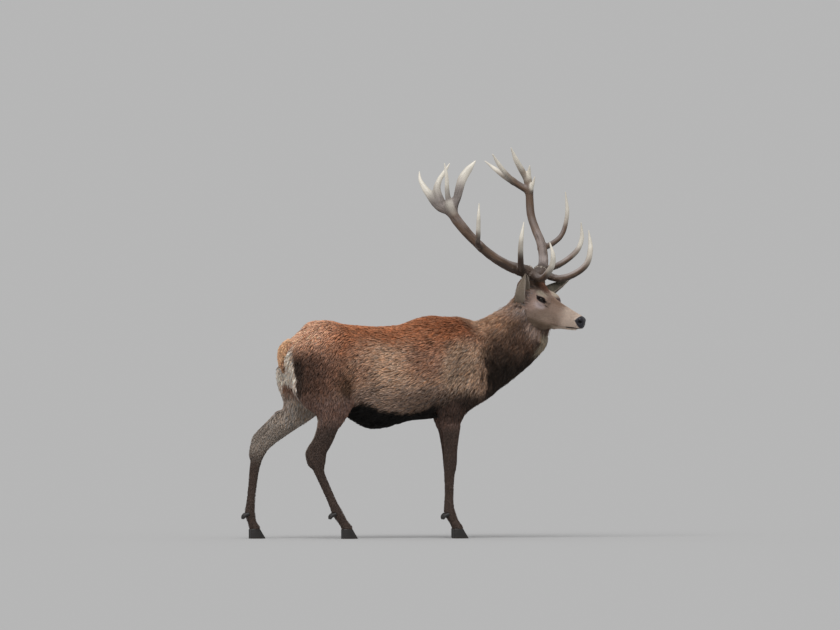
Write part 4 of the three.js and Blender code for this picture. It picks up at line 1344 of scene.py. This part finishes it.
def tuft_piece(name, slot, material, roots, size, rings, stray=0.18, shade=0.22, tone=(0.7, 1.15)):
    """Closed spindles of hair in one mesh. Each is a three-edged section carried from a root sunk in the
    skin along a line that rises fast, then bends over to lie along the body, and ends in a point.
    size gives lengths, widths, heights of the tips and how far inside the coat's outline they end; stray
    turns each tuft aside; shade is how much lighter or darker tufts are than the skin's marking; tone is
    the brightness at root and tip."""
    points, normals, part = roots
    count = len(points)
    length, width, height, inset = size
    way = lie_of_coat(points, part, normals)
    across = unit(np.cross(normals, way))
    clump = lattice(points, 26, 11) - 0.5
    turn = stray * (0.9 * rng.standard_normal(count) + 2.4 * clump)
    way = unit(way + across * turn[:, None])
    across = unit(np.cross(normals, way))
    swing = stray * 0.5 * rng.standard_normal(count)
    # the middle line, from 0 at the root to 1 at the tip
    s = (np.arange(rings) + 0.62) / (rings + 0.3)
    s_all = np.concatenate([[0.0], s, [1.0]])
    rise = 1 - (1 - s_all) ** 2.2
    line = points[:, None] + (length[:, None] * s_all)[:, :, None] * way[:, None]
    line = line + (height[:, None] * rise)[:, :, None] * normals[:, None]
    line = line + (length[:, None] * swing[:, None] * s_all**2)[:, :, None] * across[:, None]
    line += pressed(line[:, -1], inset)[:, None] * (s_all**1.5)[None, :, None]
    line[:, 0] -= SUNK * normals
    # three edges on each ring, thickest near the middle
    girth = np.sin(np.pi * np.clip(s, 0.02, 0.98) ** 0.62) ** 0.8
    section = SECTION[:, :1] * across[:, None, None] + SECTION[:, 1:] * normals[:, None, None]
    rims = width[:, None, None, None] * girth[None, :, None, None] * section
    walls = (line[:, 1:-1, None] + rims).reshape(count, -1, 3)
    verts = np.concatenate([line[:, :1], walls, line[:, -1:]], axis=1)
    # a fan of triangles at each end, and quads from ring to ring
    per = verts.shape[1]
    first = np.arange(count)[:, None, None] * per
    edge = np.arange(3)
    after = (edge + 1) % 3
    last = 1 + 3 * (rings - 1)
    low = np.stack([np.zeros(3, int), 1 + after, 1 + edge], 1)
    high = np.stack([np.full(3, per - 1), last + edge, last + after], 1)
    tris = (first + np.concatenate([low, high])[None]).reshape(-1, 3)
    quads = None
    if rings > 1:
        faces = [np.stack([edge, after, 3 + after, 3 + edge], 1) + 1 + 3 * r for r in range(rings - 1)]
        quads = (first + np.concatenate(faces)[None]).reshape(-1, 4)
    colour, _, _ = markings(points, part, normals)
    fleck = 1 + shade * rng.standard_normal((count, 1))
    fleck = fleck + 0.3 * shade * rng.standard_normal((count, 1)) * [1, 0, -1]
    colour = colour * np.clip(fleck, 0.35, 1.9)
    along = np.concatenate([[0.0], np.repeat(s, 3), [1.0]])
    bright = tone[0] + (tone[1] - tone[0]) * along
    vertex_colour = (colour[:, None] * bright[None, :, None]).reshape(-1, 3)
    piece = mesh_piece(name, material, verts.reshape(-1, 3), quads, tris, np.clip(vertex_colour, 0, 1))
    # the map has a column for each part, and each tuft a patch at its root's place there
    place = unwrapped(points, part)
    kinds = np.unique(part)
    column = np.searchsorted(kinds, part)
    u = (column + 0.02 + 0.94 * place[:, 0]) / len(kinds)
    v = 0.01 + 0.97 * place[:, 1]
    beside = np.concatenate([[0.5], np.tile([0.0, 1.0, 0.5], rings), [0.5]])
    patch = np.stack(np.broadcast_arrays(u[:, None] + PATCH * beside, v[:, None] + PATCH * along), -1)
    set_places(piece, patch.reshape(-1, 2))
    dress(piece, slot)


def coat_piece(name, slot, density, count, length, width, lift, rings, *looks):
    """Tufts over the part of the skin where density is above 0. length is a function of the roots; lift
    is the share of the coat's depth that the tips reach; looks are how the tufts stray, their shade and
    their tone."""
    roots = roots_on_skin(density, count)
    points = roots[0]
    depth = np.clip(-1.1 * flesh(points, 0.0), 1.2, 60)  # of the coat, on the skin
    vary = 1 + 0.22 * rng.standard_normal(len(points)) + 0.5 * (lattice(points, 34, 5) - 0.5)
    vary = np.clip(vary, 0.5, 1.7)
    long = length(points) * vary
    broad = width * np.clip(1 + 0.2 * rng.standard_normal(len(points)), 0.6, 1.5)
    broad *= np.clip(np.sqrt(long / np.median(long)), 0.6, 1.25)
    high = np.minimum(depth * lift * np.clip(vary, 0.6, 1.15), 0.6 * long)
    inset = (1 - lift) * depth - 5 * rng.random(len(points)) ** 3
    material = LONG_HAIR if slot == "mane" else SHORT_HAIR
    tuft_piece(name, slot, material, roots, (long, broad, high, inset), rings, *looks)


HAUNCH_FRONT, SHIN_TOP, HORN_TOP = -300, 640, 40  # where pieces of the coat meet, and where hair ends
x_skin, y_skin, z_skin = skin_points.T
hairy = ramp(0.35, 0.0, skin_bare)
is_head = is_part(skin_part, "head")
face_skin = to_face(skin_points)
is_ear = is_part(skin_part, "ear")
is_tail = is_part(skin_part, "tail")
is_leg = is_part(skin_part, "leg")
low_leg = is_leg * (z_skin < SHIN_TOP)
body_skin = (1 - is_head) * (1 - is_ear) * (1 - is_tail) * (1 - low_leg)
maned = mane_share(skin_points)
behind_face = ramp(95, 10, face_skin[:, 0])
# The sides part on the spine, which bends to the right in the neck.
right = y_skin < np.interp(x_skin, [300, 650], [0, -100])


def even(size):
    """The same length everywhere."""
    return lambda points: np.full(len(points), float(size))


def trunk_length(points):
    """38 mm, and up to 14 mm more where the mane begins."""
    return 38 + 14 * mane_share(points)


def mane_length(points):
    """Locks 28 mm long behind the cheeks, 58 mm down the neck and 105 mm on the throat and chest."""
    low = ramp(1230, 1050, points[:, 2]) * ramp(380, 520, points[:, 0])
    along = to_face(points)[:, 0]
    return 28 + 30 * ramp(1330, 1210, points[:, 2]) * ramp(60, -60, along) + 47 * low


def face_length(points):
    """9 mm at the muzzle, 13 mm on the cheeks and 24 mm on the forehead, and half that by the eyes."""
    face = to_face(points)
    top = ramp(-60, -20, face[:, 2]) * ramp(140, 90, face[:, 0])
    near_eye = ramp(60, 40, np.linalg.norm(mirrored(face) - [EYE_ALONG, EYE_OUT, EYE_UP], axis=1))
    return (9 + 4 * ramp(330, 200, face[:, 0]) + 11 * top) * (1 - 0.5 * near_eye)


def leg_length(points):
    """13 mm at the hooves, 25 mm at the elbow and stifle."""
    return 13 + 12 * ramp(250, 640, points[:, 2])


# Each coat: name, slot, where, count of tufts, length, width, lift, rings, and how the tufts look.
for side_name, here in (("right", right), ("left", ~right)):
    back = body_skin * here * (x_skin >= HAUNCH_FRONT) * (1 - maned)
    rear = body_skin * here * (x_skin < HAUNCH_FRONT)
    mane = (body_skin * maned + is_head * hairy * behind_face) * here
    shins = low_leg * here * (z_skin > HORN_TOP)
    cheeks = is_head * hairy * here * (1 - 0.6 * behind_face)
    coat_piece(f"coat_trunk_{side_name}", "coat", back, 14500, trunk_length, 4.8, 0.7, 2)
    coat_piece(f"coat_haunch_{side_name}", "coat", rear, 11500, even(36), 4.8, 0.7, 2)
    coat_piece(f"mane_{side_name}", "mane", mane, 13500, mane_length, 3.6, 0.9, 2, 0.2, 0.24)
    coat_piece(f"coat_legs_{side_name}", "leg", shins, 11000, leg_length, 3.0, 0.7, 1, 0.1, 0.14)
    looks = (0.1, 0.08, (0.9, 1.05))
    coat_piece(f"coat_face_{side_name}", "face", cheeks, 20000, face_length, 1.5, 0.35, 1, *looks)
coat_piece("coat_ears", "ear", is_ear, 11000, even(15), 1.8, 0.3, 1, 0.1, 0.08, (0.88, 1.06))
coat_piece("coat_tail", "tail", is_tail, 1500, even(42), 5.0, 0.7, 2, 0.12, 0.14)
# ---------------- surfaces on two parameters


def lofted(rings):
    """A closed shell from rings of equal counts of points, its two ends closed on their middles."""
    count, around = rings.shape[:2]
    middle = rings.mean(axis=1)
    points = np.concatenate([rings.reshape(-1, 3), middle[:1], middle[-1:]])
    i = np.arange(count - 1)[:, None] * around
    j = np.arange(around)
    after = (j + 1) % around
    quads = np.stack(np.broadcast_arrays(i + j, i + after, i + around + after, i + around + j), -1)
    quads = quads.reshape(-1, 4)
    top = (count - 1) * around
    first = np.stack([np.full(around, count * around), after, j], 1)
    last = np.stack([np.full(around, count * around + 1), top + j, top + after], 1)
    tris = np.concatenate([first, last])
    a, b, c = (points[np.concatenate([tris, halves(quads)])[:, k]] - points.mean(0) for k in range(3))
    if np.sum(a * np.cross(b, c)) < 0:  # inside out
        quads, tris = quads[:, ::-1], tris[:, ::-1]
    return points, quads, tris


def eye_material():
    """A living eye: wet cornea over a dark brown iris, so a clear reflection on near black."""
    material, tree = new_material("wet_cornea")
    links = {"Base Color": attribute(tree, "marking", "Color"), "Roughness": 0.06, "IOR": 1.38}
    finish_material(tree, "ShaderNodeBsdfPrincipled", links)
    return material


add_inks({"pupil": "#030304", "iris": "#1e120c", "limbus": "#0a0706", "white": "#1a1311"})
CORNEA = eye_material()


def eyeball(name, side):
    """A sphere whose radius swells smoothly by a twentieth towards the gaze, as the cornea does. The
    iris is a disc inside a dark limbus, and the pupil an ellipse that lies level."""
    centre, look, inner, up = eye_frame(side)
    lean = np.linspace(0.02, np.pi - 0.02, 48)[:, None]
    turn = np.linspace(0, 2 * np.pi, 48, endpoint=False)[None, :]
    bulge = 1 + 0.055 * ramp(0.66, 0.1, lean)
    away = [np.cos(lean) + 0 * turn, np.sin(lean) * np.cos(turn), np.sin(lean) * np.sin(turn)]
    rings = centre + (EYE_RADIUS - 0.4) * bulge[:, :, None] * (
        away[0][..., None] * look + away[1][..., None] * inner + away[2][..., None] * up
    )
    points, quads, tris = lofted(rings)
    offset = points - centre
    across, upright = offset @ inner, offset @ up
    out = np.hypot(across, upright)
    ahead = offset @ look > 0
    colour = plain("white", points)
    colour = paint(colour, "limbus", ahead * ramp(17.5, 15.5, out))
    spokes = np.stack([np.arctan2(upright, across) * 9, out * 0.2, 0 * out], 1)
    streak = 0.75 + 0.5 * lattice(spokes, 1.0, 21)
    iris = ahead * ramp(14.5, 13, out)
    colour = paint(colour, "iris", iris)
    colour *= np.where(iris > 0.5, streak, 1)[:, None]
    pupil = np.sqrt((across / 7.5) ** 2 + (upright / 4.2) ** 2)
    colour = paint(colour, "pupil", ahead * ramp(1.15, 0.9, pupil))
    dress(mesh_piece(name, CORNEA, on_face(points), quads, tris, colour), "eye", name)


eyeball("eye_right", -1)
eyeball("eye_left", 1)

# ---------------- hooves


def horn_material():
    """Hoof horn: dark, fibrous from coronet to sole, dulled by soil, with faint growth rings."""
    material, tree = new_material("hoof_horn")
    place = node(tree, "ShaderNodeTexCoord").outputs["Object"]
    squeezed = node(tree, "ShaderNodeMapping", {"Vector": place, "Scale": (900.0, 900.0, 90.0)})
    fibre = noise(tree, squeezed.outputs[0], 1.0, 3.0)
    soil = noise(tree, place, 60.0, 4.0)
    links = {
        "Base Color": toned_marking(tree, fibre, 0.7, 1.3),
        "Roughness": between(tree, soil, 0.38, 0.75),
        "Normal": bump(tree, fibre, 0.4, 0.0008),
        "IOR": 1.54,
    }
    finish_material(tree, "ShaderNodeBsdfPrincipled", links)
    return material


HORN = horn_material()
add_inks({"horn": "#1f1b19", "horn_worn": "#574b41"})
HOOF_LENGTH, HOOF_WIDTH, HOOF_HEIGHT, CLEFT = 86, 33, 54.5, 1.5
HEEL_BEHIND = 30  # how far behind the ankle a claw's heel lies
# Half the outline of a claw from above, heel to toe, as shares of its length and half width.
CLAW_OUTLINE = np.array([[0, 0], [0.06, 0.7], [0.36, 1], [0.72, 0.76], [0.98, 0.2]])
# Heights of a claw's rings as shares of its height, and the length and width kept there.
CLAW_RINGS = np.array([[0, 1, 0.94], [0.12, 0.97, 1], [0.55, 0.8, 0.98], [1, 0.64, 0.9]])
# A dewclaw's line on the left side, measured from its root, and its radii.
DEWCLAW_LINE = [[16, 4, 8], [-3, 1, 1], [-13, 2, -9], [-17, 2, -21]]
DEWCLAW_RADII = [9, 11, 9, 3.5]


def closed_curve(points, steps):
    """A closed Catmull-Rom curve through points."""
    a, b, c, d = (np.roll(points, shift, axis=0)[:, None] for shift in (1, 0, -1, -2))
    return curved(a, b, c, d, steps).reshape(-1, points.shape[1])


def claw(name, ankle, side):
    """A claw of a hoof: its outline shrinks and draws back from sole to coronet, so that the toe's wall
    slopes; the outer wall is rounder than the inner, and growth rings ripple both."""
    outward, inward = 0.58 * HOOF_WIDTH, 0.42 * HOOF_WIDTH
    outer = CLAW_OUTLINE * [1, outward]
    inner = CLAW_OUTLINE[:0:-1] * [1, -inward]
    outline = closed_curve(np.concatenate([outer, inner]), 6)
    share = np.concatenate([[0, 0.012], np.linspace(0.05, 0.94, 26), [0.985, 1]])
    length = np.interp(share, CLAW_RINGS[:, 0], CLAW_RINGS[:, 1])
    width = np.interp(share, CLAW_RINGS[:, 0], CLAW_RINGS[:, 2])
    shrink = np.interp(share, [0, 0.012, 0.05, 0.94, 1], [0.955, 0.985, 1, 1, 0.8])
    ripple = 1 + 0.012 * np.sin(share * 46 + 0.8 * np.sin(share * 17)) * ramp(0.05, 0.2, share)
    scale = shrink * ripple
    middle = 0.45
    along = (middle + (outline[None, :, 0] - middle) * scale[:, None]) * length[:, None] * HOOF_LENGTH
    out = outline[None, :, 1] * (width * scale)[:, None]
    x = ankle[0] - HEEL_BEHIND + along
    y = ankle[1] + side * (CLEFT + inward + out)
    z = np.broadcast_to(HOOF_HEIGHT * share[:, None], x.shape)
    points, quads, tris = lofted(np.stack([x, y, z], -1))
    worn = ramp(9, 1, points[:, 2] + 5 * lattice(points, 9, 31))
    colour = paint(plain("horn", points), "horn_worn", 0.6 * worn)
    colour *= (0.8 + 0.5 * lattice(points * [1, 1, 3.5], 16, 32))[:, None]
    dress(mesh_piece(name, HORN, points, quads, tris, colour), "horn", name)


def dewclaw(name, root, side):
    """A dewclaw: a blunt cone carried along a short curve behind the fetlock."""
    line = through(DEWCLAW_LINE)
    share = np.linspace(0, 1, len(line))
    radius = np.interp(share, np.arange(4) / 3, DEWCLAW_RADII) * (1 + 0.03 * np.sin(share * 60))
    line = np.concatenate([line, line[-1:] + unit(line[-1:] - line[-2:-1]) * 1.8])
    radius = np.append(radius, 1.2)
    run = unit(np.gradient(line, axis=0))
    across = unit(np.cross(run, [0, 1, 0]))
    beside = np.cross(run, across)
    turn = np.linspace(0, 2 * np.pi, 20, endpoint=False)
    ring = np.cos(turn)[None, :, None] * across[:, None] + np.sin(turn)[None, :, None] * beside[:, None]
    place = line[:, None] + radius[:, None, None] * ring
    place[..., 1] *= side
    points, quads, tris = lofted(root + place)
    colour = plain("horn", points) * (0.8 + 0.6 * lattice(points, 7, 33))[:, None]
    dress(mesh_piece(name, HORN, points, quads, tris, colour), "horn", name)


for leg, rows in LEG_LINES.items():
    outside = 1 if leg.endswith("left") else -1
    ankle, fetlock = np.array(rows[-1][:3], float), np.array(rows[-3][:3], float)
    for which, side in (("inner", -outside), ("outer", outside)):
        claw(f"hoof_{leg}_{which}", ankle, side)
        dewclaw(f"dewclaw_{leg}_{which}", fetlock + [-26, side * 15, -18], side)

# ---------------- antlers

# Places are ahead, out and up from midway between the burrs; radii are spread evenly along a curve.
BEAM = [
    *([-2, 46, -14], [-6, 78, 6], [-30, 130, 22], [-62, 200, 45]),
    *([-125, 305, 115], [-174, 360, 180], [-222, 391, 242]),
]
BEAM_RADII = [38, 33, 28, 26, 25, 25]
BEZ = [[-18, 106, 18], [12, 165, 30], [50, 235, 62], [94, 310, 128], [111, 330, 190], [117, 313, 280]]


def brow_tine(lift):
    """The lowest tine, its tip raised by lift."""
    far = [[226, 186, 50], [240, 205, 100 + 0.45 * lift], [225, 213, 167 + lift]]
    return [[10, 56, 2], [48, 76, -16], [100, 100, -30], [170, 150, -5], *far]


def trez_tine(lift):
    """The third tine, its tip raised by lift."""
    far = [[-73, 483, 310 + 0.3 * lift], [-77, 472, 383 + lift]]
    return [[-147, 326, 140], [-128, 400, 162], [-92, 456, 215], *far]


# Each curve: its places, its radii, and how much thinner it is across the body than along it.
CROWNS = {
    "antler_right": {
        "beam": ([*BEAM, [-285, 410, 330], [-300, 414, 382]], [*BEAM_RADII, 28, 28, 26], 1.0),
        "rear": (
            [
                *([-300, 410, 344], [-363, 415, 372], [-419, 420, 428]),
                *([-462, 424, 478], [-487, 424, 522], [-493, 420, 561]),
            ],
            [26, 30, 27, 20, 12, 3],
            1.55,
        ),
        "middle": (
            [[-362, 416, 400], [-386, 410, 461], [-379, 395, 514], [-358, 380, 556], [-334, 360, 606]],
            [24, 22, 15, 11, 3],
            1.35,
        ),
        "front": (
            [
                *([-302, 412, 362], [-305, 422, 405], [-305, 435, 461]),
                *([-297, 452, 517], [-296, 463, 561], [-301, 470, 606]),
            ],
            [17, 15, 13, 11, 9, 3],
            1.0,
        ),
        "blade": (
            [
                *([-284, 408, 350], [-264, 400, 411], [-257, 385, 461]),
                *([-253, 365, 511], [-240, 345, 550], [-202, 300, 622]),
            ],
            [20, 21, 23, 25, 20, 3],
            1.8,
        ),
    },
    "antler_left": {
        "beam": (
            [*BEAM, [-265, 410, 330], [-285, 425, 460], [-300, 430, 545]],
            [*BEAM_RADII, 23, 22, 22, 21, 19],
            1.0,
        ),
        "rear": (
            [[-287, 425, 458], [-330, 400, 490], [-390, 373, 530], [-470, 372, 580], [-545, 380, 628]],
            [19, 18, 17, 12, 3],
            1.0,
        ),
        "inner": (
            [[-362, 382, 515], [-386, 335, 560], [-402, 280, 615], [-410, 235, 664]],
            [15, 14, 12, 3],
            1.0,
        ),
        "middle": (
            [[-298, 429, 520], [-318, 395, 580], [-326, 350, 634], [-331, 304, 700]],
            [18, 17, 14, 3],
            1.0,
        ),
        "front": ([[-294, 428, 524], [-284, 420, 560], [-270, 406, 602]], [15, 12, 3], 1.0),
        "snag": ([[-284, 424, 450], [-262, 422, 496], [-245, 420, 538]], [14, 11, 3], 1.0),
    },
}


BAR_STEP = 9  # a bar is measured from points about so far apart


def bar_line(places, side):
    """A centripetal Catmull-Rom curve through places on the crown, at even steps."""
    p = on_crown(np.array(places, float) * [1, side, 1])
    p = np.concatenate([2 * p[:1] - p[1:2], p, 2 * p[-1:] - p[-2:-1]])
    gap = np.linalg.norm(np.diff(p, axis=0), axis=1)[:, None, None] ** 0.5
    a, b, c, d = p[:-3, None], p[1:-2, None], p[2:-1, None], p[3:, None]
    g0, g1, g2 = gap[:-2], gap[1:-1], gap[2:]
    out = ((b - a) / g0 - (c - a) / (g0 + g1) + (c - b) / g1) * g1
    into = ((c - b) / g1 - (d - b) / (g1 + g2) + (d - c) / g2) * g1
    t = np.linspace(0, 1, 16, endpoint=False)[None, :, None]
    dense = b + t * (out + t * (3 * (c - b) - 2 * out - into + t * (2 * (b - c) + out + into)))
    dense = np.concatenate([dense.reshape(-1, 3), p[-2:-1]])
    far = np.concatenate([[0], np.cumsum(np.linalg.norm(np.diff(dense, axis=0), axis=1))])
    even_far = np.linspace(0, far[-1], max(6, int(far[-1] / BAR_STEP)))
    return on_line(even_far, far, dense), even_far


THIN_WAY = np.array([-0.259, -0.966, 0.0])  # broad tines are thin this way


def antler_bars(name, side, lift):
    """The curves of one antler, ready to measure from: points, how far along each lies, and radii."""
    curves = dict(CROWNS[name])
    curves["brow"] = (brow_tine(lift), [22, 19, 18, 17, 14, 3], 1.0)
    curves["bez"] = (BEZ, [20, 17, 16, 15, 12, 3], 1.0)
    curves["trez"] = (trez_tine(lift), [18, 15, 13, 11, 3], 1.0)
    bars = []
    for key, (places, radii, thin) in curves.items():
        line, far = bar_line(places, side)
        radius = np.interp(far / far[-1], np.linspace(0, 1, len(radii)), radii)
        bars.append({"key": key, "line": line, "far": far, "radius": radius, "thin": thin})
    return bars


def off_bar(bar, points):
    """How far points lie outside one bar, and how far along it they are."""
    nearest = np.full(len(points), np.inf)
    along = np.zeros(len(points))
    line, far, radius = bar["line"], bar["far"], bar["radius"]
    for k in range(len(line) - 1):
        run = line[k + 1] - line[k]
        offset = points - line[k]
        t = np.clip(offset @ run / (run @ run), 0, 1)
        off = offset - t[:, None] * run
        if bar["thin"] > 1:
            off = off + (bar["thin"] - 1) * (off @ THIN_WAY)[:, None] * THIN_WAY
        value = np.linalg.norm(off, axis=1) - radius[k] - t * (radius[k + 1] - radius[k])
        better = value < nearest
        nearest = np.where(better, value, nearest)
        along = np.where(better, far[k] + t * (far[k + 1] - far[k]), along)
    return nearest, along


BURR_PEARLS = 25
BURR_ALONG, BURR_RADIUS = 33.0, 35.0
BURR_REACH = 90  # no pearl reaches further from the middle of the burr
ANTLER_SPARE = 45  # a bar is worked out this far beyond its radius
BROAD_WEB, ROUND_WEB, PEARL_WEB = 22, 13, 6  # how widely broad and round bars and pearls melt in


def burr(bars):
    """Middles and sizes of the pearls that ring the foot of the beam, and the ring's middle."""
    beam = bars[0]
    middle = on_line(BURR_ALONG, beam["far"], beam["line"])
    axis = unit(beam["line"][5] - beam["line"][2])
    across = unit(np.cross(axis, UP))
    turn = np.linspace(0, 2 * np.pi, BURR_PEARLS, endpoint=False) + 0.1 * rng.standard_normal(BURR_PEARLS)
    ring = np.cos(turn)[:, None] * across + np.sin(turn)[:, None] * np.cross(axis, across)
    reach = BURR_RADIUS + 2.5 * rng.standard_normal((BURR_PEARLS, 1))
    slip = 3.0 * rng.standard_normal((BURR_PEARLS, 1)) * axis
    return middle + reach * ring + slip, 5.4 + 1.6 * rng.random(BURR_PEARLS), middle


def antler_field(bars, pearls):
    """Bars melted together with webs in their forks, and the pearls of the burr."""
    centres, sizes, middle = pearls

    def value_at(points):
        """How far points lie outside the antler."""
        value = np.full(len(points), AWAY)
        for bar in bars:
            reach = bar["radius"].max() + ANTLER_SPARE
            low, high = bar["line"].min(0) - reach, bar["line"].max(0) + reach
            near = np.all((points > low) & (points < high), axis=1)
            if near.any():
                web = BROAD_WEB if bar["thin"] > 1 else ROUND_WEB
                value[near] = melted(value[near], off_bar(bar, points[near])[0], web)
        near = np.linalg.norm(points - middle, axis=1) < BURR_REACH
        for centre, size in zip(centres, sizes):
            off = np.linalg.norm(points[near] - centre, axis=1) - size
            value[near] = melted(value[near], off, PEARL_WEB)
        return value

    return value_at


def antler_material():
    """Bone stained by sap and soil: matt brown in the grooves, ivory and polished where it is rubbed;
    painted light on its tops and painted shade under them.
    """
    material, tree = new_material("stained_antler_bone")
    place = node(tree, "ShaderNodeTexCoord").outputs["Object"]
    grain = noise(tree, place, 260.0, 4.0, 0.6)
    links = {
        "Base Color": toned_marking(tree, grain, 0.78, 1.15),
        "Roughness": between(tree, attribute(tree, "polish"), 0.62, 0.32),
        "Normal": bump(tree, grain, 0.35, 0.001),
        "IOR": 1.5,
    }
    finish_material(tree, "ShaderNodeBsdfPrincipled", links)
    return material


BONE = antler_material()
add_inks(
    {
        "bone": "#67503f",
        "bone_groove": "#33251f",
        "bone_ridge": "#917f72",
        "bone_foot": "#43352d",
        "bone_underside_shade": "#2a1f1a",
        "bone_lit_top": "#8f8480",
        "bone_rubbed_and_lit": "#bcb0ac",
        "crown": "#8a8481",
        "ivory": "#efe8da",
        "pearl": "#b3a89b",
    }
)
ANTLER_STEP = 2.5
TIP_AFTER_BEAM = 150  # the beam's end counts as this far from a tip, so it is not pale


def antler(name, side, lift):
    """One antler: its net is pulled over the field, then grooved along its bars and beaded at the foot."""
    bars = antler_bars(name, side, lift)
    pearls = burr(bars)
    field = antler_field(bars, pearls)
    lines = np.concatenate([bar["line"] for bar in bars])
    spans = zip(lines.min(0) - ANTLER_SPARE, lines.max(0) + ANTLER_SPARE)
    axes = [spaced([(low, ANTLER_STEP), (high, 0)]) for low, high in spans]
    points, quads = net(sampled(field, axes), axes)
    points = settled(field, points, 1)
    normals = vertex_normals(points, quads)
    # each bar's hold on a point fades with its distance, so that marks run on smoothly over the forks
    hold, along, left, girth = np.zeros((4, len(points)))
    flat = np.zeros((len(points), 3))
    for bar in bars:
        value, far = off_bar(bar, points)
        weight = np.exp(-np.clip(value, -8, 60) / 4)
        hold += weight
        along += weight * far
        left += weight * (bar["far"][-1] - far + (TIP_AFTER_BEAM if bar["key"] == "beam" else 0))
        girth += weight * np.interp(far, bar["far"], bar["radius"])
        flat += weight[:, None] * (points - on_line(far, bar["far"], bar["line"]))
    along, left, girth, flat = along / hold, left / hold, girth / hold, flat / hold[:, None]
    foot = np.linalg.norm(points - pearls[2], axis=1)
    # streaks: noise squeezed across a bar and drawn out along it
    streak_at = flat + 0.11 * along[:, None] * unit(np.array([1.0, 2.0, 3.0]))
    streak = 0.65 * lattice(streak_at, 5.5, 41) + 0.35 * lattice(streak_at, 2.9, 42)
    beads = lattice(points, 6.4, 43) ** 2
    rough = ramp(30, 220, left) * np.clip(girth / 22, 0.3, 1)
    at_foot = ramp(230, 50, foot)
    lift_by = rough * (3.4 * (streak - 0.5)) + at_foot * 3.6 * (beads - 0.25)
    points = points + lift_by[:, None] * normals
    height = np.clip(0.5 + lift_by / 5, 0, 1)
    upward = normals[:, 2] - 0.25 * normals[:, 0]
    above = points[:, 2] - BROW[2]
    wander = lattice(points, 40, 44) - 0.5
    pale = ramp(230, 80, left + 60 * wander)
    colour = plain("bone", points)
    colour = paint(colour, "crown", 0.75 * ramp(270, 400, above + 60 * wander) * (side < 0))
    # Painted light on the tops of the bars, stronger on the left antler.
    colour = paint(colour, "bone_lit_top", (0.5 + 0.25 * (side > 0)) * ramp(0.1, 0.8, upward + 0.4 * wander))
    # Rubbed pale bone low on the beams, paler on their tops as painted light.
    worn = ramp(120, 50, above) * ramp(50, 100, foot) * (1 - pale)
    colour = paint(colour, "bone_rubbed_and_lit", 0.75 * worn * ramp(0.1, 0.7, upward + 0.3 * wander))
    # Painted shade on the undersides of the bars.
    colour = paint(colour, "bone_underside_shade", 0.75 * ramp(0.0, -0.6, upward + 0.4 * wander))
    colour = paint(colour, "bone_groove", 0.85 * ramp(0.46, 0.2, height))
    colour = paint(colour, "bone_ridge", 0.6 * ramp(0.55, 0.85, height))
    colour = paint(colour, "bone_foot", 0.75 * at_foot)
    off_pearls = [np.linalg.norm(points - c, axis=1) - s for c, s in zip(*pearls[:2])]
    colour = paint(colour, "pearl", 0.8 * ramp(2.0, 0.2, np.min(off_pearls, axis=0)))
    colour = paint(colour, "ivory", 0.92 * pale)
    colour *= (0.8 + 0.4 * lattice(points, 55, 45))[:, None]
    piece = mesh_piece(name, BONE, points, quads, colours=colour)
    set_number(piece, np.clip(pale + 0.5 * ramp(0.6, 0.9, height), 0, 1), "polish")
    dress(piece, "antler_beam", *[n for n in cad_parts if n.startswith(name + "_")])


antler("antler_right", -1, 0)
antler("antler_left", 1, 70)
# ---------------- floor, light and camera

# The sky's radiance, the floor's albedo and the sun's slant together make the floor as bright as the sky.
SKY, ALBEDO = 0.47, 0.5
sun_way = unit(np.array([-0.30, -0.50, 0.80]))
SUN = np.pi * SKY * (1 / ALBEDO - 1) / sun_way[2]
FLOOR, FLOOR_DROP = 400000.0, 0.5  # half the floor's side, and how far it lies under the hooves

paper, paper_tree = new_material("pale_studio_floor")
finish_material(paper_tree, "ShaderNodeBsdfDiffuse", {"Color": (ALBEDO, ALBEDO, ALBEDO, 1)})
floor_points = FLOOR * np.array([[-1, -1, 0], [1, -1, 0], [1, 1, 0], [-1, 1, 0]])
floor_points = floor_points - SHIFT - [0, 0, FLOOR_DROP]
floor = mesh_piece("studio_floor", paper, floor_points, [[0, 1, 2, 3]])

AZIMUTH = np.radians(-15)
CAMERA_FAR, CAMERA_LENS, CAMERA_HEIGHT, AIM_ACROSS, CLIP_END = 80.0, 617.3, 1.239, 0.0315, 2000
toward = np.array([np.sin(AZIMUTH), -np.cos(AZIMUTH), 0.0])
across_view = np.array([np.cos(AZIMUTH), np.sin(AZIMUTH), 0.0])
aim = AIM_ACROSS * across_view + [0, 0, CAMERA_HEIGHT]
camera_data = bpy.data.cameras.new("camera")
camera_data.lens = CAMERA_LENS
camera_data.clip_end = CLIP_END
camera = in_scene("camera", camera_data)
camera.location = aim + CAMERA_FAR * toward
camera.rotation_euler = (np.pi / 2, 0, AZIMUTH)
bpy.context.scene.camera = camera

light_data = bpy.data.lights.new("bright_cloud", "SUN")
light_data.energy = SUN
light_data.angle = np.radians(45)  # a cloud that wide blurs the shadows
light = in_scene("bright_cloud", light_data)
light.location = 6.0 * sun_way
light.rotation_euler = (np.arccos(sun_way[2]), 0, np.arctan2(sun_way[0], -sun_way[1]))

world = bpy.data.worlds.new("plain_sky")
world.use_nodes = True
background = world.node_tree.nodes["Background"]
background.inputs["Color"].default_value = (SKY, SKY, SKY, 1)
background.inputs["Strength"].default_value = 1.0
bpy.context.scene.world = world
bpy.context.scene.view_settings.view_transform = "Standard"
